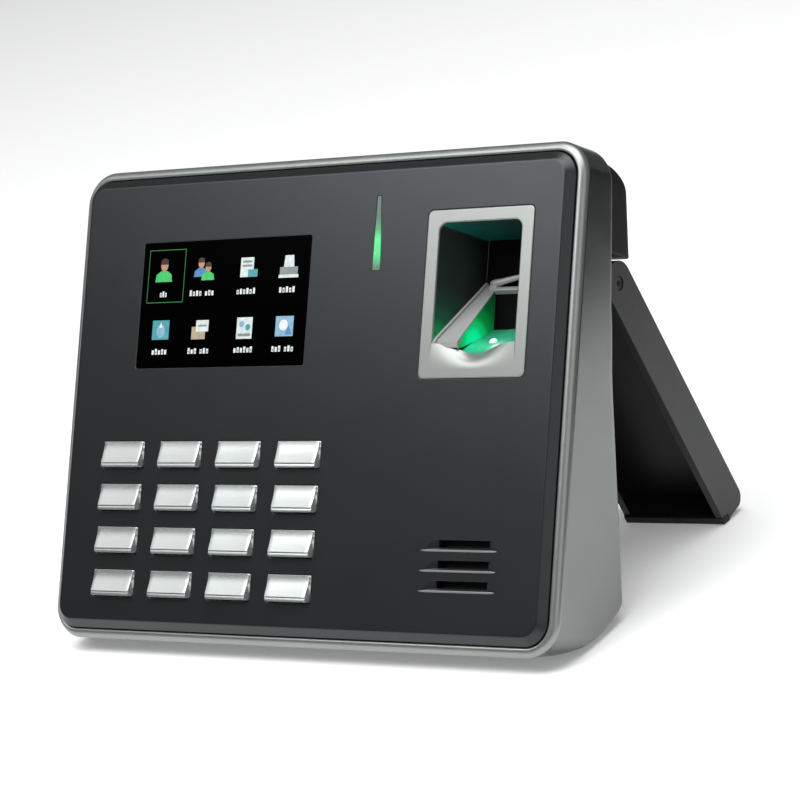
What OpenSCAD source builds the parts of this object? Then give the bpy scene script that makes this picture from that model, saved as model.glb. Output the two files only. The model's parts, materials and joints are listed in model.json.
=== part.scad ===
// Desktop fingerprint terminal: wedge-shaped body that leans back on a folding rear stand.
// Device axes before leaning: X to the right, Y from the front face to the back, Z up the face.

/* [Body] */
// Width of the body
body_w = 180; // [176:1:188]
// Height of the face, measured along it
face_h = 140; // [138:1:146]
// Lean of the face from the vertical, in degrees
lean = 30; // [28:0.5:31]
// Corner radius of the face
corner_r = 10; // [8:0.5:12]
// Wall thickness of the bezel shell
shell_wall = 2.8; // [2.4:0.1:3.2]
// How far the front plate stands proud of the rim
plate_raise = 2; // [1.5:0.1:2.2]
// Width of the bevel around the front plate
bevel_w = 2.1; // [1.5:0.1:2.5]

/* [Keypad] */
// Width of a key
key_w = 15.5; // [14:0.1:16.5]
// Height of a key on the plate
key_h = 7.7; // [7:0.1:8.4]
// Column pitch of the keys
key_px = 21.8; // [20:0.1:22.2]
// Row pitch of the keys
key_pz = 12.6; // [12:0.1:13]
// How far the lower edge of a key stands proud
key_proud = 1.8; // [1.2:0.1:2.2]
// Travel of a key
key_travel = 1; // [0.6:0.1:1.2]

/* [Screen] */
// Width of the screen window
lens_w = 62.4; // [60:0.2:64]
// Height of the screen window
lens_h = 37.2; // [36:0.2:38.2]

/* [Finger recess] */
// Width of the recess frame
frame_w = 35.2; // [34:0.2:36]
// Height of the recess frame
frame_h = 46.9; // [46:0.1:48]
// Depth of the finger well
well_d = 16; // [15:0.2:16.4]

/* [Stand] */
// Depth of the stand's side walls
stand_d = 12.5; // [11:0.5:12.5]
// Length of the stand from its pivot
stand_l = 87.5; // [86.5:0.5:87.5]
// Angle between the open stand and the face, in degrees
stand_open = 51.2; // [50.8:0.1:51.6]
// Width of each leg
leg_w = 33.4; // [28:0.2:38]
// Radius of the hinge pins
pin_r = 1.95; // [1.8:0.05:2.1]

/* [Hidden] */
$fn = 48;

// ground offset and centring of the leaned body
lift = 5.4;
y_mid = 55.3;
// bottom curve of the side profile: straight run, then an arc up to the rear edge
run_b = 14;
run_v = 4.7;
arc_r = 42.2;
arc_a0 = atan(run_v / run_b);
arc_da = 31.7;
arc_c = [run_b - arc_r * sin(arc_a0), run_v + arc_r * cos(arc_a0)];
function arc_pt(r, a) = [arc_c[0] + r * sin(arc_a0 + a), arc_c[1] - r * cos(arc_a0 + a)];
function arc_pts(r, n) = [for (i = [0 : n]) arc_pt(r, arc_da * i / n)];
// rear edge of the shell: lower and upper straight parts
rear_low = arc_pt(arc_r, arc_da);
rear_mid = [16.7, 97];
rear_top = [12.2, face_h - 0.5];
function rear_b(v) = rear_low[0] + (rear_mid[0] - rear_low[0]) * (v - rear_low[1]) / (rear_mid[1] - rear_low[1]);
// key grid: top left corner of the first key
key_x0 = -72.4;
key_z0 = 58.1;
// screen window
lens_x0 = -62.7;
lens_z0 = 79.8;
// recess frame
frame_x0 = 40.4;
frame_z0 = 75.2;
// pivot of the stand in device axes
piv_b = 24;
piv_v = 104.5;
half_d = stand_d / 2;
// length along the stand at which a point at offset t from its axis reaches the ground
piv_h = piv_v * cos(lean) - piv_b * sin(lean) + lift;
out_a = stand_open - lean;
function ground_s(t) = (piv_h + t * sin(out_a)) / cos(out_a);
post_x = 78;
post_z = [34, 92];
plate_back = 0.4;
board_xz = [for (x = [-55, 31], z = [67, 124.2]) [x, z]];

module dev() { translate([0, -y_mid, lift]) rotate([-lean, 0, 0]) children(); }
// shape drawn in the plane of the face (X right, Y up the face), from depth b0 to b1
module slab(b0, b1) { translate([0, b1, 0]) rotate([90, 0, 0]) linear_extrude(b1 - b0) children(); }
// side profile drawn as [depth, height], spread across the width from x0 to x1
module across(x0, x1) { translate([x0, 0, 0]) rotate([90, 0, 90]) linear_extrude(x1 - x0) children(); }
module rrect(w, h, r) {
  translate([0, h / 2]) {
    square([w - 2 * r, h], center = true);
    square([w, h - 2 * r], center = true);
    for (x = [-1, 1], y = [-1, 1]) translate([x * (w / 2 - r), y * (h / 2 - r)]) circle(r);
  }
}
module rbox(x0, z0, w, h, r) { translate([x0 + w / 2, z0]) rrect(w, h, r); }
module rod(x0, x1, r) { translate([x0, 0, 0]) rotate([0, 90, 0]) cylinder(r = r, h = x1 - x0); }
module peg(x, z, b0, b1, r) { translate([x, b0, z]) rotate([-90, 0, 0]) cylinder(r = r, h = b1 - b0); }
module blk(x0, x1, b0, b1, z0, z1) { translate([x0, b0, z0]) cube([x1 - x0, b1 - b0, z1 - z0]); }

// ---------------------------------------------------------------- shells
module bezel_shell() color([0.62, 0.64, 0.64]) dev() difference() {
  intersection() {
    slab(-1, 50) rrect(body_w, face_h, corner_r);
    across(-body_w / 2, body_w / 2) polygon(concat([[0, 0]], arc_pts(arc_r, 14), [rear_mid, rear_top, [0, face_h]]));
  }
  intersection() {
    slab(-5, 60) translate([0, shell_wall]) rrect(body_w - 2 * shell_wall, face_h - 2 * shell_wall, corner_r - shell_wall + 0.2);
    across(-body_w / 2, body_w / 2) polygon(concat([[-5, shell_wall - 1.6]], arc_pts(arc_r - 2.6, 14), [[45, 36.8], [45, 150], [-5, 150]]));
  }
  // side openings for the data socket and the power inlet
  blk(-95, -85, 7.7, 13.9, 60.2, 74);
  translate([-95, 9, 50]) rod(0, 10, 3.6);
  // pockets for the feet
  foot_pads(0, 2.4, 0.15);
}

module foot_pads(z0, z1, g) rotate([lean, 0, 0]) translate([0, y_mid, -lift])
  for (s = [-1, 1]) translate([s * 62, 21.6 - y_mid, z0]) linear_extrude(z1 - z0) {
    square([24, 8 + 2 * g], center = true);
    for (e = [-12, 12]) translate([e, 0]) circle(4 + g);
  }

module rubber_feet() color([0.08, 0.08, 0.08]) dev() foot_pads(0, 2.35, 0);

module key_hole(c, r, g) translate([key_x0 + c * key_px - g, key_z0 - r * key_pz - key_h - g]) square([key_w + 2 * g, key_h + 2 * g]);

module slot(z) {
  slab(-3, 2) polygon([[47.4, z + 0.5], [68.6, z + 0.5], [67.8, z + 2.8], [48.2, z + 2.8]]);
  intersection() {
    slab(-3, 2) polygon([[45.4, z - 0.7], [70.6, z - 0.7], [67.8, z + 2.8], [48.2, z + 2.8]]);
    across(40, 76) polygon([[-3, z - 0.7], [-2, z - 0.7], [-0.6, z + 0.6], [-0.6, z + 2.8], [-3, z + 2.8]]);
  }
}

module front_plate() color([0.13, 0.14, 0.15]) dev() difference() {
  union() {
    slab(0, plate_back) translate([0, 3.3]) rrect(body_w - 6.6, face_h - 6.6, 6.8);
    // bevelled front, stepped in thin layers
    for (i = [0 : 7]) let (f = (i + 1) / 8) slab(-plate_raise * f, 0.2)
      translate([0, 3.3 + bevel_w * f]) rrect(body_w - 6.6 - 2 * bevel_w * f, face_h - 6.6 - 2 * bevel_w * f, 6.8 - bevel_w * f * 0.8);
    // posts for the cover screws
    for (x = [-post_x, post_x]) {
      peg(x, post_z[0], 0.2, 26.5, 3);
      peg(x, post_z[1], 0.2, 14.6, 3);
    }
    // bosses for the main board
    for (p = board_xz) peg(p[0], p[1], 0.2, 8.95, 2.7);
  }
  for (p = board_xz) peg(p[0], p[1], 3, 12, 1.55);
  for (x = [-post_x, post_x]) {
    peg(x, post_z[0], 14, 30, 1.5);
    peg(x, post_z[1], 6, 20, 1.5);
  }
  // screen pocket and opening
  slab(-3, -0.4) rbox(lens_x0 - 0.1, lens_z0 - 0.1, lens_w + 0.2, lens_h + 0.2, 0.6);
  slab(-3, 2) rbox(lens_x0 + 1.6, lens_z0 + 1.6, lens_w - 3.2, lens_h - 3.2, 0.5);
  // recess frame opening
  slab(-3, 2) rbox(frame_x0 + 1.2, frame_z0 + 1.2, frame_w - 2.4, frame_h - 2.4, 1);
  slab(-3, -1.2) rbox(frame_x0 - 0.1, frame_z0 - 0.1, frame_w + 0.2, frame_h + 0.2, 1.6);
  // keys
  slab(-3, 2) for (c = [0 : 3], r = [0 : 3]) key_hole(c, r, 0.25);
  // light guide
  slab(-3, 2) polygon([[21.85, 105.85], [24.8, 105.85], [23.65, 127.3], [22.05, 127.3]]);
  // speaker slots
  for (z = [17.4, 22.95, 28.5]) slot(z);
}

// ---------------------------------------------------------------- screen
module lcd_lens() color([0.03, 0.03, 0.04]) dev() slab(-1.9, -0.45) rbox(lens_x0, lens_z0, lens_w, lens_h, 0.5);

module lcd_module() color([0.3, 0.32, 0.34]) dev() slab(0.6, 3.6) rbox(lens_x0 - 0.6, lens_z0 - 2.4, lens_w + 1.2, lens_h + 3.6, 0.5);

module lcd_bracket() color([0.2, 0.2, 0.21]) dev() {
  difference() {
    slab(0.5, 5) rbox(lens_x0 - 2.6, lens_z0 - 4.4, lens_w + 5.2, lens_h + 7.6, 1);
    slab(0, 3.8) rbox(lens_x0 - 0.8, lens_z0 - 2.6, lens_w + 1.6, lens_h + 4, 0.5);
    slab(3, 6) rbox(lens_x0 + 6, lens_z0 + 4, lens_w - 12, lens_h - 8, 2);
  }
}

module light_guide() color([0.75, 0.8, 0.78]) dev() {
  slab(-2.05, 0.4) polygon([[22, 106], [24.65, 106], [23.5, 127.15], [22.2, 127.15]]);
  slab(0.4, 2.4) polygon([[21, 107], [25.6, 107], [25.6, 122], [21, 122]]);
}

module status_led() color([0.9, 0.95, 0.85]) dev() for (z = [110, 115, 119.5]) blk(22, 24.6, 8, 9, z, z + 1.6);

// ---------------------------------------------------------------- finger recess
recess_x0 = frame_x0 + 3.9;
recess_w = 27.5;
sl_c = 87;      // the sensor plane is height = depth + sl_c
module fp_frame() color([0.7, 0.72, 0.72]) dev() difference() {
  union() {
    slab(-2.15, -1.3) rbox(frame_x0, frame_z0, frame_w, frame_h, 1.5);
    slab(-1.4, 1.2) rbox(frame_x0 + 1.4, frame_z0 + 1.4, frame_w - 2.8, frame_h - 2.8, 0.9);
  }
  // opening above the lip
  slab(-3, 2) rbox(recess_x0, frame_z0 + 9.9, recess_w, 33.4, 2.4);
  // sloped lip that leads the finger in
  across(recess_x0, recess_x0 + recess_w) polygon([[-4, 80.3], [-2.15, 80.3], [1.3, 85.15], [1.3, 90], [-4, 90]]);
  // scoop in the lip
  translate([recess_x0 + recess_w / 2, -8, 92.2]) rotate([-62, 0, 0]) cylinder(r = 10.4, h = 24);
}

module well_solid(g) hull() {
  slab(1.3, 1.4) rbox(recess_x0 - g, 84 - g, recess_w + 2 * g, 34.9 + 2 * g, 1.6);
  slab(well_d + g * 0.8 - 0.1, well_d + g * 0.8) rbox(recess_x0 + 3.4 - g, 96 - g, recess_w - 5.4 + 2 * g, 20.6 + 2 * g, 1.2);
}
module finger_well() color([0.05, 0.06, 0.06]) dev() difference() {
  well_solid(1.2);
  translate([0, -0.2, 0]) well_solid(0);
  blk(recess_x0 - 0, recess_x0 + recess_w, 0, 2, 86, 118.5);
  // cut along the sensor plane
  across(30, 90) polygon([[-10, sl_c - 10 - 0.15], [40, sl_c + 40 - 0.15], [40, 40], [-10, 40]]);
}

win_x0 = 53.6;
win_x1 = 67.2;
module sensor_housing() color([0.6, 0.62, 0.62]) dev() difference() {
  across(45.2, 71) polygon([[1.5, sl_c + 1.2], [15.6, sl_c + 15.3], [15.6, 96.6], [13.1, 96.6], [13.1, 85.4], [1.5, 85.4]]);
  // window and prism chamber
  across(win_x0, win_x1) polygon([[3, 95], [3, 87], [13.4, 87], [13.4, 95], [12, 101]]);
}

module sensor_prism() color([0.5, 0.9, 0.65]) dev() across(win_x0 + 0.15, win_x1 - 0.15)
  polygon([[3.2, 89.6], [9.6, 96], [9.6, 87.2], [3.2, 87.2]]);

module sensor_camera() color([0.1, 0.1, 0.12]) dev() {
  peg(60.4, 88.5, 11.8, 13.45, 1.3);
}

module sensor_board() color([0.1, 0.35, 0.2]) dev() blk(46.5, 70, 13.5, 14.7, 80.6, 90.2);

module sensor_cable() color([0.85, 0.85, 0.8]) dev() {
  blk(29, 36.6, 10.65, 10.95, 84, 91);
  blk(36.3, 36.6, 10.65, 13.9, 84, 91);
  blk(36.3, 46.4, 13.6, 13.9, 84, 91);
}

// ---------------------------------------------------------------- keypad
// wedge key: prism through the plate with a sloping cap and a retaining flange
module key(c, r) color([0.75, 0.77, 0.78]) dev() {
  x = key_x0 + c * key_px;
  z = key_z0 - r * key_pz;
  across(x, x + key_w) polygon([[1.6, z - key_h], [-plate_raise - key_proud + 0.1, z - key_h], [-plate_raise - key_proud - 0.05, z - key_h + 1.2],
    [-plate_raise - 0.3, z], [1.6, z]]);
  blk(x - 0.9, x + key_w + 0.9, 0.6, 1.6, z - key_h - 0.9, z + 0.9);
}

module keypad_membrane() color([0.45, 0.47, 0.5]) dev() difference() {
  slab(2.8, 3.5) rbox(-74.4, 9.6, 85, 50.8, 2);
  for (x = [-66, 0], z = [14.4, 52.4]) peg(x + 12.6, z + 0.7, 2, 4, 1.2);
}

module keypad_board() color([0.1, 0.3, 0.18]) dev() slab(3.6, 5.2) rbox(-74, 8.6, 88, 52.6, 1.5);

module keypad_cable() color([0.85, 0.85, 0.8]) dev() {
  blk(-36, -20, 5.25, 5.55, 50, 61.8);
  blk(-36, -20, 5.25, 8.95, 61.5, 61.8);
  blk(-36, -20, 8.65, 8.95, 61.5, 70);
}

// ---------------------------------------------------------------- boards
module main_board() color([0.08, 0.32, 0.18]) dev() difference() {
  slab(9, 10.6) rbox(-60, 63, 96, 65.4, 2);
  for (p = board_xz) peg(p[0], p[1], 8, 12, 1.6);
}

module main_chips() color([0.07, 0.07, 0.08]) dev() {
  blk(-22, -8, 10.7, 12.1, 84, 98);
  blk(-2, 10, 10.7, 11.9, 86, 96);
  blk(-46, -36, 10.7, 12.7, 104, 110);
  blk(14, 20, 10.7, 11.9, 74, 80);
  blk(-57, -51, 10.7, 12.7, 88, 96);
  blk(16, 26, 10.7, 11.7, 88, 96);
}

module lcd_flex() color([0.75, 0.5, 0.15]) dev() {
  blk(-42, -22, 3.65, 3.95, 86, 96.3);
  blk(-42, -22, 3.65, 8.95, 96, 96.3);
  blk(-42, -22, 8.65, 8.95, 96, 106);
}

module io_board() color([0.08, 0.32, 0.18]) dev() blk(-86.4, -66, 13.75, 15.2, 42, 78);

module usb_socket() color([0.72, 0.73, 0.74]) dev() {
  difference() {
    blk(-89.8, -74, 7.9, 13.7, 60.5, 73.7);
    blk(-91, -76, 8.3, 13.3, 60.9, 73.3);
  }
  blk(-88.2, -76, 9, 10.6, 62, 72.2);
}

module dc_jack() color([0.06, 0.06, 0.07]) dev() translate([0, 9, 50]) {
  difference() {
    union() { rod(-89.4, -84, 3.4); translate([-86.6, -4.7, -4.6]) cube([12, 9.4, 9.2]); }
    rod(-91, -78, 2.85);
  }
  rod(-88.4, -77, 1);
}

module cell_holder() color([0.12, 0.12, 0.13]) dev() difference() {
  peg(-36, 80, 10.7, 15.7, 11.6);
  peg(-36, 80, 11.7, 17, 10.4);
}
module coin_cell() color([0.75, 0.76, 0.77]) dev() peg(-36, 80, 11.8, 15, 10);

module speaker() color([0.15, 0.15, 0.16]) dev() {
  peg(58, 24.5, 1.3, 4.4, 13);
  peg(58, 24.5, 4.4, 8.6, 8);
}
module speaker_gasket() color([0.1, 0.1, 0.1]) dev() difference() {
  peg(58, 24.5, 0.5, 1.2, 14.3);
  peg(58, 24.5, 0, 2, 13.2);
}

// ---------------------------------------------------------------- rear
rc_x = body_w / 2 - shell_wall - 0.3;
module block_profile() polygon([[15.45, 111.4], [26.2, 111.4], [22.7, 130], [21.4, 133.6], [18.6, 136.6], [15, 138], [12.6, 138.3]]);
module rear_cover() color([0.09, 0.09, 0.1]) dev() difference() {
  union() {
    // lower panel, flush with the rear edge of the shell
    across(-rc_x, rc_x) polygon([[rear_b(21.6) - 0.15, 21.6], [rear_mid[0] - 0.15, 97], [15.1, 110], [15.6, 111.4], [16.5, 111.4], [16.5, 113.6], [13, 113.6], [rear_mid[0] - 2.15, 97], [rear_b(19.9) - 2.15, 19.9]]);
    // bulge behind the finger well
    blk(41.6, 73.1, 14.9, 18.3, 92.6, 113);
    // raised upper block
    difference() {
      intersection() {
        across(-body_w / 2 + 1.5, body_w / 2 - 1.5) block_profile();
        slab(10, 40) rrect(body_w - 3, face_h - 1.7, corner_r - 1.5);
      }
      intersection() {
        across(-body_w / 2 + 3.7, body_w / 2 - 3.7) polygon([[0, 113.6], [24, 113.6], [20.5, 129.6], [19.6, 132.2], [17.6, 134.4], [14.5, 135.8], [0, 136]]);
        slab(0, 40) rrect(body_w - 7.4, face_h - 4, corner_r - 3.5);
      }
    }
    // tongue that enters the shell
    difference() {
      intersection() {
        slab(10, 16) translate([0, 3.2]) rrect(2 * rc_x, face_h - 6.4, corner_r - 3.1);
        across(-rc_x, rc_x) polygon([[10.2, 112], [15.6, 112], [15.6, 128], [13.5, 136], [10.2, 136.8]]);
      }
      slab(5, 18) translate([0, 3.2]) rrect(2 * rc_x - 3, face_h - 9.4, corner_r - 4.1);
    }
    // ears for the hinge pins
    for (x = [-84.5, 80.5]) {
      translate([0, piv_b, piv_v]) rod(x, x + 4, 3.7);
      blk(x, x + 4, 15.2, piv_b, piv_v - 3.7, piv_v + 3.7);
    }
  }
  for (x = [-84.5, 80.5]) translate([0, piv_b, piv_v]) rod(x - 1, x + 5, pin_r + 0.02);
  // cover screws
  for (x = [-post_x, post_x]) {
    peg(x, post_z[0], 20, 40, 1.7);
    peg(x, post_z[0], 28.3, 40, 3.1);
    peg(x, post_z[1], 10, 30, 1.7);
    peg(x, post_z[1], 16.4, 30, 3.1);
  }
  // tamper plunger
  peg(0, 70, 10, 30, 2.16);
  // sound and cooling slots
  for (i = [-4 : 4]) blk(i * 6 - 1 + 44, i * 6 + 1 + 44, 20, 40, 40, 54);
  // room for the finger well and its sensor
  blk(42.8, 71.9, 5, 17.3, 93.8, 112);
  blk(42.8, 71.9, 5, 17.3, 111, 119);
}

module screw(x, z, b) { peg(x, z, b - 9, b, 1.45); peg(x, z, b - 0.02, b + 1.2, 2.8); }
module cover_screws() color([0.7, 0.7, 0.72]) dev() for (x = [-post_x, post_x]) { screw(x, post_z[0], 28.35); screw(x, post_z[1], 16.45); }

module board_screws() color([0.75, 0.75, 0.77]) dev() for (p = board_xz) {
  peg(p[0], p[1], 5, 10.65, 1.5);
  peg(p[0], p[1], 10.62, 12, 2.6);
}

// ---------------------------------------------------------------- stand
module at_stand() dev() translate([0, piv_b, piv_v]) rotate([stand_open, 0, 0]) children();
half_x = 87.4;
heel_r = 3.6;
heel = [half_d - heel_r, -stand_l - 1.8 + heel_r];
// how far inwards the arch between the legs has closed at offset t
function arch_x(t) = half_x - leg_w - (t + half_d) * 0.64;
module leg_profile() {
  circle(half_d);
  // the lower end slopes a little, with a rounded heel
  polygon(concat([[-half_d, 0], [-half_d, -stand_l]], [for (a = [82 : -8.2 : 0]) heel + heel_r * [cos(a), -sin(a)]], [[half_d, 0]]));
}
module stand() color([0.11, 0.11, 0.12]) at_stand() difference() {
  union() {
    // side walls
    for (x = [-half_x, half_x - 2.2]) across(x, x + 2.2) leg_profile();
    // back panel with rolled upper edge and end wall
    intersection() {
      across(-half_x, half_x) difference() {
        union() {
          leg_profile();
        }
        circle(half_d - 2.2);
        translate([-half_d - 1, -stand_l + 2]) square([stand_d - 1.2, stand_l - 2]);
        rotate(-40) translate([-20, 0]) square([20, 20]);
        translate([-20, 0]) square([20, 20]);
        translate([-20, -40]) square([20 , 42]);
      }
      slab(-50, 50) translate([-half_x, -stand_l - 1]) square([2 * half_x, stand_l + 20]);
    }
    // end walls of the two legs
    for (x = [-half_x, arch_x(half_d)]) across(x, x + half_x - arch_x(half_d)) intersection() {
      leg_profile();
      polygon([[-half_d - 1, -stand_l + 2], [half_d + 1, -stand_l + 0.2], [half_d + 1, -stand_l - 5], [-half_d - 1, -stand_l - 5]]);
    }
    // raised rim around the arch
    for (m = [-1, 1]) translate([0, 0, -stand_l + 1]) linear_extrude(stand_l - 39)
      polygon([[m * arch_x(-half_d), -half_d + 0.5], [m * (arch_x(-half_d) + 2.2), -half_d + 0.5], [m * (arch_x(half_d - 1) + 2.2), half_d - 1], [m * arch_x(half_d - 1), half_d - 1]]);
    blk(-half_x + leg_w - 2, half_x - leg_w + 2, -2, half_d - 1, -40, -38);
  }
  // arch between the legs
  translate([0, 0, -stand_l - 5]) linear_extrude(stand_l - 35) polygon([[-arch_x(-20), -20], [arch_x(-20), -20], [arch_x(20), 20], [-arch_x(20), 20]]);
  foot_shape();
  // pivot bores
  rod(-half_x - 1, -half_x + 3, pin_r + 0.05);
  rod(half_x - 3, half_x + 1, pin_r + 0.05);
  // wall screw holes
  for (x = [-66, 66]) peg(x, -22, 0, 10, 2.25);
}

module stand_foot() color([0.05, 0.05, 0.05]) at_stand() foot_shape();
module foot_shape() for (x = [-half_x, half_x - leg_w]) across(x, x + leg_w)
  polygon([[-half_d - 0.3, -ground_s(-half_d - 0.3)], [-3.2, -ground_s(-3.2)], [-3.2, -stand_l + 1.1], [-5.2, -stand_l + 2.2], [-half_d - 0.3, -stand_l + 2.4]]);

module hinge_pins() color([0.6, 0.61, 0.62]) dev() translate([0, piv_b, piv_v]) {
  difference() { rod(80.2, 87.1, pin_r); rod(86.6, 88, 0.8); }
  difference() { rod(-87.1, -80.2, pin_r); rod(-88, -86.6, 0.8); }
}
module hinge_washers() color([0.6, 0.6, 0.58]) dev() translate([0, piv_b, piv_v])
  for (x = [-85.1, 84.6]) difference() { rod(x, x + 0.5, 3.3); rod(x - 1, x + 1.5, 2.05); }

// ---------------------------------------------------------------- tamper switch
module tamper_switch() color([0.08, 0.08, 0.09]) dev() difference() {
  blk(-3.2, 3.2, 10.7, 16.7, 66.8, 73.2);
  peg(0, 70, 15, 18, 1.5);
}
module tamper_plunger() color([0.85, 0.85, 0.83]) dev() {
  peg(0, 70, 17.9, 23.4, 2.1);
  peg(0, 70, 17.9, 18.8, 2.8);
}

bezel_shell();
front_plate();
lcd_lens();
lcd_module();
lcd_bracket();
light_guide();
status_led();
fp_frame();
finger_well();
sensor_housing();
sensor_prism();
sensor_camera();
sensor_board();
sensor_cable();
keypad_membrane();
keypad_board();
keypad_cable();
main_board();
main_chips();
lcd_flex();
io_board();
usb_socket();
dc_jack();
coin_cell();
cell_holder();
speaker();
speaker_gasket();
rear_cover();
cover_screws();
board_screws();
rubber_feet();
stand();
stand_foot();
hinge_pins();
hinge_washers();
tamper_switch();
tamper_plunger();
key(0, 0);  // key_1
key(1, 0);  // key_2
key(2, 0);  // key_3
key(3, 0);  // key_escape
key(0, 1);  // key_4
key(1, 1);  // key_5
key(2, 1);  // key_6
key(3, 1);  // key_menu
key(0, 2);  // key_7
key(1, 2);  // key_8
key(2, 2);  // key_9
key(3, 2);  // key_up
key(0, 3);  // key_clear
key(1, 3);  // key_0
key(2, 3);  // key_down
key(3, 3);  // key_ok
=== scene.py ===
import json
import math
import bpy
import bmesh
from mathutils import Vector, Matrix, noise
from mathutils.geometry import tessellate_polygon


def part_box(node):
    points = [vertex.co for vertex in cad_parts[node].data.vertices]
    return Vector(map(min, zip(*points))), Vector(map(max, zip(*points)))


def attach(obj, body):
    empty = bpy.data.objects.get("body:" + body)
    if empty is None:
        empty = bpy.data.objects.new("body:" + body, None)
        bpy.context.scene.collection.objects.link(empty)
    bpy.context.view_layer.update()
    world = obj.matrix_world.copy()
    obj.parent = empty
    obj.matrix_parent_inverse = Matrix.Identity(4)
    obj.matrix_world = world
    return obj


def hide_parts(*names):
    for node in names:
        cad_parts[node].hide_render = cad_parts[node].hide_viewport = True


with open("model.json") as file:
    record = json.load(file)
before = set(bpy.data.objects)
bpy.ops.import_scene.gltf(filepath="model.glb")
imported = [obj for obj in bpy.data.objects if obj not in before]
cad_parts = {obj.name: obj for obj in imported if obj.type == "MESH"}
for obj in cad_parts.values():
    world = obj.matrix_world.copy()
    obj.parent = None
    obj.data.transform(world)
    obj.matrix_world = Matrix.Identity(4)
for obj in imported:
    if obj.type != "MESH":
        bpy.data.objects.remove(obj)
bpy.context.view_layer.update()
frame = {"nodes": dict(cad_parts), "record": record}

# ------------------------------------------------------------------ device axes
# u = right along the width, v = up the leaning face, b = behind the front rim, all in mm
LEAN = math.radians(30)
CL, SL = math.cos(LEAN), math.sin(LEAN)
# offsets of the leaned body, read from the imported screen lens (its window starts at u -62.7, v 79.8, b -1.9)
_lo, _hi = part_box("lcd_lens")
Y_OFF = _lo[1] * 1000 - (79.8 * SL - 1.9 * CL)
Z_OFF = _lo[2] * 1000 - (79.8 * CL + 0.45 * SL)


def D(u, v, b):
    return Vector((u, v * SL + b * CL + Y_OFF, v * CL - b * SL + Z_OFF)) / 1000.0


PIV_V, PIV_B, OPEN = 104.5, 24.0, math.radians(51.2)


def S(x, s, t):
    """Stand axes: s down the leg from the pivot, t towards the back."""
    v = PIV_V - s * math.cos(OPEN) + t * math.sin(OPEN)
    b = PIV_B + s * math.sin(OPEN) + t * math.cos(OPEN)
    return D(x, v, b)


# ------------------------------------------------------------------ materials
MATS = {}


def new_mat(name):
    m = bpy.data.materials.new(name)
    m.use_nodes = True
    nt = m.node_tree
    for n in list(nt.nodes):
        nt.nodes.remove(n)
    out = nt.nodes.new("ShaderNodeOutputMaterial")
    p = nt.nodes.new("ShaderNodeBsdfPrincipled")
    nt.links.new(p.outputs[0], out.inputs[0])
    return m, nt, p


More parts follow.
